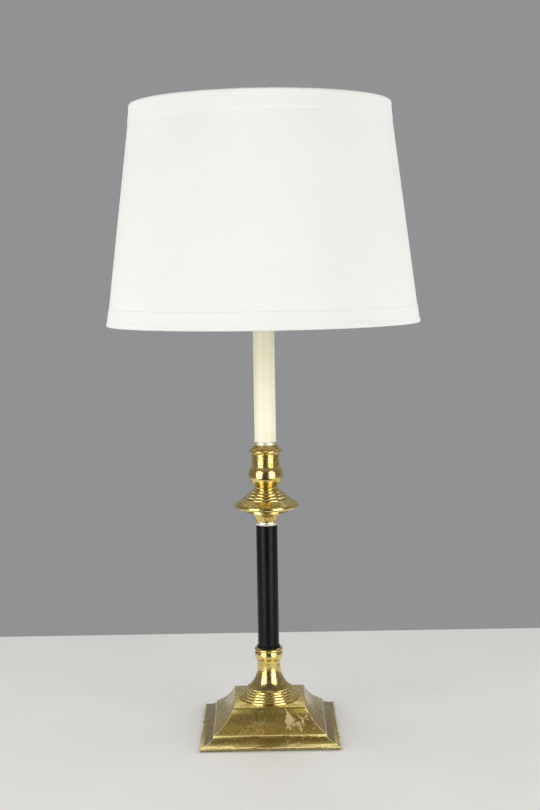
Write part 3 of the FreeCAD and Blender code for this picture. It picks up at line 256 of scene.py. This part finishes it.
def plinth_brass():
    """Cast brass under old lacquer: olive and ochre clouds, bright flecks, one flaked patch."""
    golden, ochre, reddish = (0.84, 0.62, 0.17), (0.55, 0.40, 0.085), (0.74, 0.42, 0.11)
    pit, low_shade_colour, bare = (0.07, 0.055, 0.02), (0.30, 0.22, 0.05), (0.62, 0.47, 0.23)
    bright_fleck, worn_edge_highlight = (1.0, 0.88, 0.50), (1.0, 0.86, 0.44)
    step_edge, rim_edge = (68.4, 13.9), (83.6, 3.9)
    f = Finish("plinth_brass")
    cloud = f.noise(24, 3, 0.6)
    mottle = f.noise(110, 6, 0.72)
    fleck = f.noise(430, 4, 0.68)
    dulled = f.between(cloud * 0.45 + mottle * 0.55, 0.42, 0.58)
    flecked = f.between(f.noise(560, 2, 0.5), 0.64, 0.69)
    pitted = f.between(fleck, 0.44, 0.34)
    reddened = f.between(f.noise(19, 2, 0.5), 0.56, 0.66)
    height = f.axes()[2]
    # darker towards the bottom: painted shade that dims the reflection in the lower slope
    painted_low_shade = f.between(height + mottle * (4 * MM), 15.5 * MM, 13.5 * MM)
    colour = f.mix(dulled, golden, ochre)
    colour = f.mix(reddened * 0.5, colour, reddish)
    colour = f.mix(pitted * 0.8, colour, pit)
    colour = f.mix(painted_low_shade * 0.75, colour, low_shade_colour)
    colour = f.mix(flecked, colour, bright_fleck)
    # bright mitres and edges: partly wear, partly a painted highlight of the lamps
    rubbed = worn_and_highlit_edges(f, [step_edge, rim_edge])
    rubbed = rubbed * f.between(mottle, 0.36, 0.5)
    colour = f.mix(rubbed * 0.9, colour, worn_edge_highlight)
    patch = flaked_patch(f)
    colour = f.mix(patch, colour, bare)
    rough = 0.20 + mottle * 0.14 + dulled * 0.08 + patch * 0.3 - rubbed * 0.05
    normal = f.bump(mottle * 0.4 + fleck * 0.6 - patch * 0.6, 0.00024, 0.4)
    return f.surface(
        Base_Color=colour,
        Metallic=1 - patch * 0.8 - rubbed * 0.6 - flecked * 0.2,
        Roughness=rough,
        Normal=normal,
        Coat_Weight=0.5 - patch * 0.5,
        Coat_Roughness=0.16,
    )


def ring_brass():
    """The thin rings at the joints: paler, brighter brass."""
    f = Finish("ring_brass")
    mottle = f.noise(260, 4, 0.6)
    colour = f.mix(f.between(mottle, 0.5, 0.68) * 0.6, (0.93, 0.87, 0.72), (0.66, 0.55, 0.34))
    return f.surface(Base_Color=colour, Metallic=1.0, Roughness=0.36 + mottle * 0.12)


def plated_metal(name, bright, dulled):
    """Thin bright plating on wire, sockets and small fittings."""
    f = Finish(name)
    mottle = f.noise(210, 4, 0.6)
    colour = f.mix(f.between(mottle, 0.48, 0.66) * 0.6, bright, dulled)
    normal = f.bump(mottle, 0.00006, 0.3)
    rough = 0.2 + mottle * 0.16
    return f.surface(Base_Color=colour, Metallic=1.0, Roughness=rough, Normal=normal)


def black_enamel():
    """Black paint with a soft gloss, rubbed a little along the tube."""
    f = Finish("black_enamel")
    cloud = f.noise(60, 4, 0.6)
    streak = f.noise(1, 4, 0.6, f.stretch((150, 150, 9)))
    rubbed = f.between(streak * 0.6 + cloud * 0.4, 0.5, 0.72)
    colour = f.mix(rubbed, (0.0035, 0.0035, 0.004), (0.010, 0.010, 0.011))
    rough = 0.27 + rubbed * 0.12 + cloud * 0.06
    normal = f.bump(cloud * 0.7 + streak * 0.3, 0.0001, 0.15)
    return f.surface(
        Base_Color=colour, Roughness=rough, Normal=normal, Specular_IOR_Level=0.16
    )


def candle_cream():
    """Cream wax-like paint, yellower in streaks down the sleeve."""
    f = Finish("candle_cream")
    cloud = f.noise(34, 4, 0.6)
    run = f.noise(1, 3, 0.5, f.stretch((130, 130, 9)))
    yellowed = f.between(run * 0.6 + cloud * 0.4, 0.4, 0.66)
    colour = f.mix(yellowed, (0.96, 0.91, 0.70), (0.93, 0.85, 0.56))
    normal = f.bump(run * 0.7 + cloud * 0.3, 0.00025, 0.3)
    return f.surface(
        Base_Color=colour,
        Roughness=0.38 + cloud * 0.14,
        Normal=normal,
        Subsurface_Weight=0.15,
        Subsurface_Radius=(0.004, 0.003, 0.0015),
        Subsurface_Scale=1.0,
    )


def woven(name, around, pitch):
    """Plain-woven cloth that follows the shade round the z axis, with thicker threads in places.

    around is how many waves of the weave go round the shade, and pitch the height of one wave.
    """
    f = Finish(name)
    x, y, z = f.axes()
    angle = f.add("ShaderNodeMath", {"operation": "ARCTAN2"}, {0: y, 1: x})
    across = f.add("ShaderNodeMath", {"operation": "SINE"}, {0: angle * around})
    along = f.add("ShaderNodeMath", {"operation": "SINE"}, {0: z * (2 * math.pi / pitch)})
    weft = f.noise(1, 3, 0.6, f.stretch((16, 16, 1500)))
    warp = f.noise(1, 3, 0.6, f.stretch((900, 900, 6)))
    slub = f.between(weft, 0.60, 0.72) + f.between(warp, 0.62, 0.74)
    cloud = f.noise(9, 3, 0.55)
    weave = across * along * 0.5 + 0.5
    shaded = weave * 0.16 + slub * 0.22 + f.between(cloud, 0.42, 0.7) * 0.3
    colour = f.mix(shaded, CLOTH_LIGHT, CLOTH_SHADED)
    normal = f.bump(weave * 0.5 + slub * 0.8 + weft * 0.5 + warp * 0.5, 0.00022, 0.5)
    return f.surface(
        Base_Color=colour,
        Roughness=0.78 + slub * 0.08,
        Normal=normal,
        Sheen_Weight=0.15,
        Sheen_Roughness=0.5,
    )


def lining_white():
    """The shade's plastic backing: smooth and faintly mottled."""
    f = Finish("lining_white")
    cloud = f.noise(22, 3, 0.55)
    colour = f.mix(f.between(cloud, 0.42, 0.68), (0.90, 0.885, 0.84), (0.86, 0.84, 0.78))
    normal = f.bump(f.noise(320, 2, 0.5), 0.00008, 0.25)
    return f.surface(Base_Color=colour, Roughness=0.42 + cloud * 0.1, Normal=normal)


def plain_finish(name, tint, mottled, scale, rough, metallic=0.0, depth=0.0001, **constants):
    """A finish of two tones in small clouds, with a bump of the same grain."""
    f = Finish(name)
    grain = f.noise(scale, 5, 0.65)
    fine = f.noise(scale * 6, 3, 0.6)
    colour = f.mix(f.between(grain * 0.7 + fine * 0.3, 0.4, 0.64), tint, mottled)
    normal = f.bump(grain * 0.5 + fine * 0.5, depth, 0.4)
    return f.surface(
        Base_Color=colour,
        Metallic=metallic,
        Roughness=rough + grain * 0.12,
        Normal=normal,
        **constants,
    )


def glass(name, rough, tint):
    """Glass with a faint haze; a rough one is frosted inside."""
    f = Finish(name)
    haze = f.noise(80, 3, 0.5)
    return f.surface(
        Base_Color=tint, Roughness=rough + haze * 0.05, Transmission_Weight=1.0, IOR=1.45
    )


FINISHES = {
    "turned_brass": turned_brass(),
    "plinth_brass": plinth_brass(),
    "ring_brass": ring_brass(),
    "harp_brass": plated_metal("harp_brass", (0.84, 0.66, 0.32), (0.52, 0.37, 0.14)),
    "socket_brass": plated_metal("socket_brass", (0.88, 0.72, 0.40), (0.60, 0.45, 0.20)),
    "cap_metal": plated_metal("cap_metal", (0.80, 0.78, 0.72), (0.52, 0.49, 0.42)),
    "zinc_steel": plated_metal("zinc_steel", (0.66, 0.66, 0.64), (0.40, 0.39, 0.36)),
    "black_enamel": black_enamel(),
    "candle_cream": candle_cream(),
    "shade_cloth": woven("shade_cloth", 1500, 0.9 * MM),
    "trim_cloth": woven("trim_cloth", 1200, 1.1 * MM),
    "lining_white": lining_white(),
    "shade_wire": plain_finish("shade_wire", (0.78, 0.76, 0.70), (0.62, 0.58, 0.50), 160, 0.34),
    "felt": plain_finish(
        "felt", (0.07, 0.12, 0.08), (0.04, 0.075, 0.05), 700, 0.85, depth=0.0006, Sheen_Weight=0.4
    ),
    "board": plain_finish("board", (0.25, 0.16, 0.09), (0.15, 0.095, 0.05), 240, 0.75),
    "iron": plain_finish("iron", (0.16, 0.15, 0.14), (0.26, 0.13, 0.07), 90, 0.55, 0.6, 0.0004),
    "phenolic": plain_finish("phenolic", (0.030, 0.018, 0.012), (0.055, 0.03, 0.018), 120, 0.22),
    "fibre": plain_finish("fibre", (0.42, 0.36, 0.27), (0.32, 0.27, 0.20), 420, 0.8, 0, 0.0003),
    "lead_wire": plated_metal("lead_wire", (0.72, 0.70, 0.68), (0.50, 0.48, 0.46)),
    "bulb_glass": glass("bulb_glass", 0.42, (0.97, 0.97, 0.96)),
    "clear_glass": glass("clear_glass", 0.03, (0.98, 0.99, 0.98)),
}

WEARS = {
    "turned_brass": "stem_foot foot_collar drip_pan candle_cup finial cord_bushing",
    "plinth_brass": "base_plinth",
    "ring_brass": "upper_tube_ring candle_ring candle_check_ring",
    "harp_brass": "harp_saddle harp harp_sleeve_left harp_sleeve_right harp_stud finial_insert",
    "socket_brass": "socket_cap socket_shell screw_shell switch_shaft centre_contact",
    "cap_metal": "bulb_screw_cap bulb_tip",
    "zinc_steel": "lock_washer base_nut lamp_pipe saddle_nut terminal_screws socket_set_screw",
    "black_enamel": "column_tube lower_tube_ring",
    "candle_cream": "candle_sleeve",
    "shade_cloth": "shade_shell",
    "trim_cloth": "shade_top_trim shade_bottom_trim",
    "shade_wire": "shade_top_ring shade_bottom_ring spider_hub spider_arms",
    "felt": "felt_pad",
    "board": "base_board",
    "iron": "base_weight",
    "phenolic": "switch_knob bulb_insulator switch_body",
    "fibre": "insulating_sleeve",
    "lead_wire": "bulb_leads filament",
    "bulb_glass": "bulb_glass",
    "clear_glass": "bulb_stem",
}


def dress(piece, finish):
    """Give every slot of a piece one finish."""
    if not piece.material_slots:
        piece.data.materials.append(FINISHES[finish])
    for slot in piece.material_slots:
        slot.material = FINISHES[finish]


for finish, names in WEARS.items():
    for name in names.split():
        dress(solids[name], finish)


# ---------------------------------------------------------------- modelling


def start_piece(name):
    """The new primitive becomes the one selected, active piece, in edit mode."""
    piece = bpy.context.object
    piece.name = piece.data.name = name
    bpy.ops.object.mode_set(mode="EDIT")
    return piece


def clear_selection():
    """Leave edit mode and select nothing."""
    if bpy.context.object and bpy.context.object.mode == "EDIT":
        bpy.ops.object.mode_set(mode="OBJECT")
    bpy.ops.object.select_all(action="DESELECT")


def pick(piece, wanted):
    """In edit mode, select the faces whose centre and normal pass a test, and nothing else."""
    bpy.ops.mesh.select_mode(type="FACE")
    bpy.ops.mesh.select_all(action="DESELECT")
    bpy.ops.object.mode_set(mode="OBJECT")
    for face in piece.data.polygons:
        face.select = wanted(face.center, face.normal)
    bpy.ops.object.mode_set(mode="EDIT")


def add_modifier(piece, kind, **settings):
    """Add a modifier with its settings and apply it."""
    modifier = piece.modifiers.new(kind.title(), kind)
    for name, setting in settings.items():
        setattr(modifier, name, setting)
    bpy.context.view_layer.objects.active = piece
    bpy.ops.object.modifier_apply(modifier=modifier.name)


def finish_piece(piece, finish, body, *stands_for, sharp=35):
    """Place in the mesh, smooth shading, a finish, a body to ride on and the solids it replaces."""
    clear_selection()
    piece.select_set(True)
    bpy.context.view_layer.objects.active = piece
    bpy.ops.object.transform_apply(location=True, rotation=True, scale=True)
    bpy.ops.object.shade_smooth_by_angle(angle=math.radians(sharp))
    dress(piece, finish)
    if stands_for:
        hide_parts(*stands_for)
    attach(piece, body)
    clear_selection()
    return piece


def turn_piece(name, outline, sides=ROUND):
    """A ring turned about the z axis, drawn as by hand: a circle, then each next one extruded."""
    clear_selection()
    (radius, height), *rest = outline
    bpy.ops.mesh.primitive_circle_add(vertices=sides, radius=radius, location=(0, 0, height))
    piece = start_piece(name)
    bpy.ops.mesh.select_all(action="SELECT")
    for next_radius, next_height in rest:
        bpy.ops.mesh.extrude_edges_move()
        share = next_radius / radius
        bpy.ops.transform.resize(value=(share, share, 1), center_override=(0, 0, 0))
        bpy.ops.transform.translate(value=(0, 0, next_height - height))
        radius, height = next_radius, next_height
    bpy.ops.mesh.select_mode(type="EDGE")
    bpy.ops.mesh.select_all(action="DESELECT")
    bpy.ops.mesh.select_non_manifold()
    bpy.ops.mesh.bridge_edge_loops()
    bpy.ops.mesh.select_all(action="SELECT")
    bpy.ops.mesh.normals_make_consistent(inside=False)
    bpy.ops.object.mode_set(mode="OBJECT")
    return piece


def worn_copy(node, name, finish, body, width, segments=2):
    """A merged copy of a solid with its sharp edges rounded."""
    clear_selection()
    piece = bpy.data.objects.new(name, solids[node].data.copy())
    bpy.context.scene.collection.objects.link(piece)
    piece.select_set(True)
    bpy.context.view_layer.objects.active = piece
    bpy.ops.object.mode_set(mode="EDIT")
    bpy.ops.mesh.select_all(action="SELECT")
    bpy.ops.mesh.remove_doubles(threshold=0.005 * MM)
    bpy.ops.mesh.dissolve_limited(angle_limit=math.radians(0.4))
    bpy.ops.object.mode_set(mode="OBJECT")
    if piece.data.has_custom_normals:
        bpy.ops.mesh.customdata_custom_splitnormals_clear()
    add_modifier(
        piece,
        "BEVEL",
        width=width,
        segments=segments,
        limit_method="ANGLE",
        angle_limit=math.radians(28),
        use_clamp_overlap=True,
    )
    return finish_piece(piece, finish, body, node, sharp=40)


# ---------------------------------------------------------------- the shade

shell_low, shell_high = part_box("shade_shell")
head_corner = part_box("shade_top_trim")[1]
RIM_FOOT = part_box("shade_bottom_trim")[0].z
RIM_HEAD = head_corner.z
TRIM_STANDS_OUT = 1.4 * MM
TRIM_WIDTH = 21 * MM
# (outside radius, height) of the shell's two ends
SHELL_FOOT = (shell_high.x, shell_low.z)
SHELL_HEAD = (head_corner.x - TRIM_STANDS_OUT, shell_high.z)
CLOTH = 0.55 * MM
GLUE = 0.02 * MM
BACKING = 0.45 * MM


def shell_radius(height):
    """The outside of the shade's shell at a height."""
    share = (height - SHELL_FOOT[1]) / (SHELL_HEAD[1] - SHELL_FOOT[1])
    return SHELL_FOOT[0] + (SHELL_HEAD[0] - SHELL_FOOT[0]) * share


def shell_layer(name, outside, thickness, finish):
    """One layer of the tapered shell, whose skin lies a little way in from the shell's outside."""
    rings = 12
    rise = (SHELL_HEAD[1] - SHELL_FOOT[1]) / rings
    heights = [SHELL_FOOT[1] + rise * n for n in range(rings + 1)]
    skin = [(shell_radius(height) - outside, height) for height in heights]
    back = [(radius - thickness, height) for radius, height in reversed(skin)]
    piece = turn_piece(name, skin + back)
    return finish_piece(piece, finish, "shade", "shade_shell", sharp=50)


cover = shell_layer("shade_cover", 0, CLOTH, "shade_cloth")
shell_layer("shade_lining", CLOTH + GLUE, BACKING, "lining_white")


def folded_trim(name, node, rim, inward):
    """A band of cloth folded round a rim of the shade: outside, over the wire, and back inside.

    inward is +1 at the foot and -1 at the head. Each place is (distance out from the shell's
    skin at that height, distance from the rim) in mm; the cloth is 0.6 mm thick.
    """
    outside = [(0.05, 21.0), (0.5, 20.8), (0.62, 20.2), (0.62, 15), (0.66, 10), (0.75, 7)]
    roll = [(1.15, 4.6), (1.38, 2.9), (1.2, 1.3), (0.7, 0.35), (-0.2, 0.0), (-2.4, 0.0)]
    hem = [(-4.4, 0.1), (-5.3, 0.6), (-5.55, 1.6), (-5.5, 4.6), (-5.1, 5.35), (-4.95, 4.6)]
    underside = [(-4.95, 1.7), (-4.2, 0.7), (-2.4, 0.6), (0.02, 0.6), (0.02, 8), (0.02, 15)]
    outline = []
    for out, away in outside + roll + hem + underside:
        height = rim + inward * away * MM
        near = min(max(height, SHELL_FOOT[1]), SHELL_HEAD[1])
        outline.append((shell_radius(near) + out * MM, height))
    piece = turn_piece(name, outline)
    return finish_piece(piece, "trim_cloth", "shade", node, sharp=60)


head_trim = folded_trim("head_trim", "shade_top_trim", RIM_HEAD, -1)
foot_trim = folded_trim("foot_trim", "shade_bottom_trim", RIM_FOOT, 1)


def back_lap(cover):
    """The strip where the cover overlaps itself down the back of the shade, between the trims."""
    clear_selection()
    piece = bpy.data.objects.new("cover_lap", cover.data.copy())
    bpy.context.scene.collection.objects.link(piece)
    piece.select_set(True)
    bpy.context.view_layer.objects.active = piece
    half_width = math.radians(1.9)

    def kept(middle, normal):
        turn = math.atan2(middle.x, middle.y)
        clear = SHELL_FOOT[1] + TRIM_WIDTH < middle.z < SHELL_HEAD[1] - TRIM_WIDTH
        outer = normal.xy.dot(middle.xy) > 0
        return abs(turn) < half_width and outer and clear

    bpy.ops.object.mode_set(mode="EDIT")
    pick(piece, lambda middle, normal: not kept(middle, normal))
    bpy.ops.mesh.delete(type="FACE")
    bpy.ops.object.mode_set(mode="OBJECT")
    add_modifier(piece, "SOLIDIFY", thickness=0.32 * MM, offset=1.0)
    add_modifier(piece, "BEVEL", width=0.12 * MM, segments=2, limit_method="ANGLE")
    return finish_piece(piece, "shade_cloth", "shade", sharp=50)


def declare_cover(cover, *trimmings):
    """The cover is cut flat as a curved band, the part of a ring that its taper unrolls to.

    Its flat size is the rectangle that the band fits in.
    """
    foot, head = SHELL_FOOT[0], SHELL_HEAD[0]
    slant = math.hypot(foot - head, SHELL_HEAD[1] - SHELL_FOOT[1])
    band_radius = foot * slant / (foot - head)
    half_angle = math.pi * foot / band_radius
    2 * band_radius * math.sin(half_angle)
    band_radius - (band_radius - slant) * math.cos(half_angle)
    math.pi * (foot + head) * slant


declare_cover(cover, head_trim, foot_trim, back_lap(cover))


# ---------------------------------------------------------------- screw threads

THREAD_PITCH = 3.63 * MM


def threaded_sleeve(name, finish, body, node, radius, depth, low, high, wall):
    """A thin metal sleeve rolled into the coarse round thread of a lamp cap.

    One pitch of the wavy wall is drawn upright, point by point, and screwed round the z axis;
    then its ends are trimmed flat and the wall gets its thickness. Every thread starts a whole
    number of pitches above the table, so that the crests of one lie in the grooves of the other.
    """
    steps, sides = 12, 64  # of one wave, and of one turn
    clear_selection()
    bpy.ops.mesh.primitive_plane_add(size=MM)
    piece = start_piece(name)
    bpy.ops.mesh.select_mode(type="VERT")
    bpy.ops.mesh.select_all(action="DESELECT")
    bpy.ops.object.mode_set(mode="OBJECT")
    for corner in piece.data.vertices[1:]:
        corner.select = True
    bpy.ops.object.mode_set(mode="EDIT")
    bpy.ops.mesh.delete(type="VERT")
    bpy.ops.mesh.select_all(action="SELECT")
    wave = [radius + depth * math.cos(2 * math.pi * n / steps) for n in range(steps + 1)]
    start = (math.floor(low / THREAD_PITCH) - 1) * THREAD_PITCH
    bpy.ops.object.mode_set(mode="OBJECT")
    first = piece.data.vertices[0].co.copy()
    bpy.ops.object.mode_set(mode="EDIT")
    bpy.ops.transform.translate(value=(wave[0] - first.x, -first.y, start - first.z))
    for before, after in zip(wave, wave[1:]):
        move = {"value": (after - before, 0, THREAD_PITCH / steps)}
        bpy.ops.mesh.extrude_vertices_move(TRANSFORM_OT_translate=move)
    bpy.ops.object.mode_set(mode="OBJECT")
    add_modifier(
        piece,
        "SCREW",
        screw_offset=THREAD_PITCH,
        iterations=math.ceil((high - start) / THREAD_PITCH),
        steps=sides,
        render_steps=sides,
    )
    bpy.ops.object.mode_set(mode="EDIT")
    for height, upward in ((low, -1), (high, 1)):
        bpy.ops.mesh.select_all(action="SELECT")
        bpy.ops.mesh.remove_doubles(threshold=0.01 * MM)
        bpy.ops.mesh.bisect(
            plane_co=(0, 0, height), plane_no=(0, 0, upward), clear_outer=True, use_fill=False
        )
    bpy.ops.mesh.select_all(action="SELECT")
    bpy.ops.mesh.normals_make_consistent(inside=False)
    bpy.ops.object.mode_set(mode="OBJECT")
    facing_out = sum(face.normal.xy.dot(face.center.xy) for face in piece.data.polygons)
    if facing_out < 0:
        bpy.ops.object.mode_set(mode="EDIT")
        bpy.ops.mesh.flip_normals()
        bpy.ops.object.mode_set(mode="OBJECT")
    add_modifier(piece, "SOLIDIFY", thickness=wall, offset=-1.0)
    return finish_piece(piece, finish, body, node, sharp=60)


cap_low, cap_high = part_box("bulb_screw_cap")
threaded_sleeve(
    "cap_thread",
    "cap_metal",
    "bulb",
    "bulb_screw_cap",
    radius=cap_high.x - 0.34 * MM,
    depth=0.32 * MM,
    low=cap_low.z + 3.2 * MM,
    high=cap_high.z - 3.4 * MM,
    wall=0.3 * MM,
)
# (radius, height above the cap's foot) in mm, round each wall's section
CAP_ENDS = {
    "cap_foot": [(9.2, 0.0), (12.1, 2.0), (12.9, 3.0), (12.9, 3.6), (12.5, 3.6), (11.8, 2.4)],
    "cap_neck": [(12.9, 17.4), (13.1, 18.2), (13.1, 21.2), (12.7, 21.2), (12.7, 18), (12.5, 17.4)],
}
for name, outline in CAP_ENDS.items():
    section = [(radius * MM, cap_low.z + height * MM) for radius, height in outline]
    cap_end = turn_piece(name, section, sides=96)
    finish_piece(cap_end, "cap_metal", "bulb", "bulb_screw_cap", sharp=40)

shell_foot, shell_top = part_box("screw_shell")
threaded_sleeve(
    "shell_thread",
    "socket_brass",
    "stand",
    "screw_shell",
    radius=shell_top.x - 0.24 * MM,
    depth=0.22 * MM,
    low=shell_foot.z,
    high=shell_top.z,
    wall=0.25 * MM,
)


# ---------------------------------------------------------------- worn edges

# node: name, finish, body, width of the rounded edge in mm
WORN = {
    "base_plinth": ("plinth_worn", "plinth_brass", "stand", 0.5),
    "harp_saddle": ("saddle_strap", "harp_brass", "stand", 0.3),
    "felt_pad": ("felt_sheet", "felt", "stand", 0.4),
    "base_weight": ("cast_weight", "iron", "stand", 1.0),
    "base_nut": ("nut_under_plinth", "zinc_steel", "stand", 0.35),
    "saddle_nut": ("nut_on_saddle", "zinc_steel", "stand", 0.35),
    "switch_knob": ("ribbed_knob", "phenolic", "switch", 0.2),
}
for node, (name, finish, body, width) in WORN.items():
    worn_copy(node, name, finish, body, width * MM)


# ---------------------------------------------------------------- floor, light and camera


BACKDROP = (0.285, 0.287, 0.292, 1)
ROOM_IN_FRONT = (0.045, 0.043, 0.04, 1)


def make_floor():
    """A plain pale table top, with its far edge a little way behind the lamp."""
    width, depth, thickness, middle = 1.7, 0.81, 0.02, 0.035
    clear_selection()
    bpy.ops.mesh.primitive_cube_add(
        size=1, location=(0, middle, -thickness / 2), scale=(width, depth, thickness)
    )
    floor = bpy.context.object
    floor.name = "floor"
    bpy.ops.object.transform_apply(location=True, rotation=True, scale=True)
    add_modifier(floor, "BEVEL", width=3 * MM, segments=3)
    f = Finish("floor")
    cloud = f.noise(5, 4, 0.6)
    colour = f.mix(f.between(cloud, 0.4, 0.7) * 0.5, (0.90, 0.885, 0.85), (0.85, 0.835, 0.80))
    f.surface(Base_Color=colour, Roughness=0.4 + cloud * 0.1)
    floor.data.materials.append(f.material)


def make_world():
    """A grey room: the backdrop's grey behind the lamp, dimmer where the camera stands."""
    world = bpy.data.worlds.new("studio")
    bpy.context.scene.world = world
    world.use_nodes = True
    nodes, links = world.node_tree.nodes, world.node_tree.links
    nodes.clear()
    direction = nodes.new("ShaderNodeTexCoord")
    split = nodes.new("ShaderNodeSeparateXYZ")
    links.new(direction.outputs["Generated"], split.inputs[0])
    behind = nodes.new("ShaderNodeMapRange")
    behind.interpolation_type = "SMOOTHSTEP"
    behind.inputs["From Min"].default_value = -0.9
    behind.inputs["From Max"].default_value = 0.75
    links.new(split.outputs["Y"], behind.inputs["Value"])
    room = nodes.new("ShaderNodeMix")
    room.data_type = "RGBA"
    links.new(behind.outputs[0], room.inputs[0])
    room.inputs[6].default_value = ROOM_IN_FRONT
    room.inputs[7].default_value = BACKDROP
    path = nodes.new("ShaderNodeLightPath")
    seen = nodes.new("ShaderNodeMix")
    seen.data_type = "RGBA"
    links.new(path.outputs["Is Camera Ray"], seen.inputs[0])
    links.new(room.outputs[2], seen.inputs[6])
    seen.inputs[7].default_value = BACKDROP
    background = nodes.new("ShaderNodeBackground")
    links.new(seen.outputs[2], background.inputs["Color"])
    output = nodes.new("ShaderNodeOutputWorld")
    links.new(background.outputs[0], output.inputs["Surface"])


def softbox(name, azimuth, distance, height, size, watts, aim=0.35, shines=True):
    """A soft rectangular lamp at an azimuth from the front, turned towards the lamp stand.

    One that doesn't shine lights the cloth and the floor but isn't mirrored in the brass.
    """
    turn = math.radians(azimuth)
    place = Vector((distance * math.sin(turn), -distance * math.cos(turn), height))
    light = bpy.data.lights.new(name, "AREA")
    light.shape = "RECTANGLE"
    light.size, light.size_y = size
    light.energy = watts
    lamp = bpy.data.objects.new(name, light)
    bpy.context.scene.collection.objects.link(lamp)
    lamp.location = place
    lamp.rotation_euler = (Vector((0, 0, aim)) - place).to_track_quat("-Z", "Y").to_euler()
    lamp.visible_glossy = shines


def make_camera():
    """A little above the shade's foot, 1.64 m in front, looking slightly down.

    The focal length and the lamp's axis are in pixels of the photograph's frame.
    """
    frame_width, frame_height, focal, axis_x = 540, 810, 1348, 264.7
    looks_down, leans = math.radians(5.96), math.radians(-0.95)
    data = bpy.data.cameras.new("camera")
    camera = bpy.data.objects.new("camera", data)
    bpy.context.scene.collection.objects.link(camera)
    data.sensor_width = 36
    data.lens = focal / frame_height * data.sensor_width
    data.shift_x = (frame_width / 2 - axis_x) / frame_height
    camera.location = (0, -1.638, 0.577)
    tilt = Euler((math.pi / 2 - looks_down, 0, 0)).to_matrix()
    roll = Matrix.Rotation(leans, 3, "Z")
    camera.rotation_euler = (tilt @ roll).to_euler()
    bpy.context.scene.camera = camera


make_floor()
make_world()
softbox("left_box", -45, 1.7, 0.5, (1.12, 1.9), 23)
softbox("right_box", 42, 1.7, 0.5, (1.08, 1.9), 22)
softbox("left_fill", -108, 2.0, 0.9, (1.4, 1.2), 12.5, shines=False)
softbox("right_fill", 108, 2.0, 0.9, (1.4, 1.2), 12.5, shines=False)
softbox("back_box", 180, 2.2, 2.3, (2.0, 0.8), 17)
make_camera()
bpy.context.scene.view_settings.view_transform = "Standard"
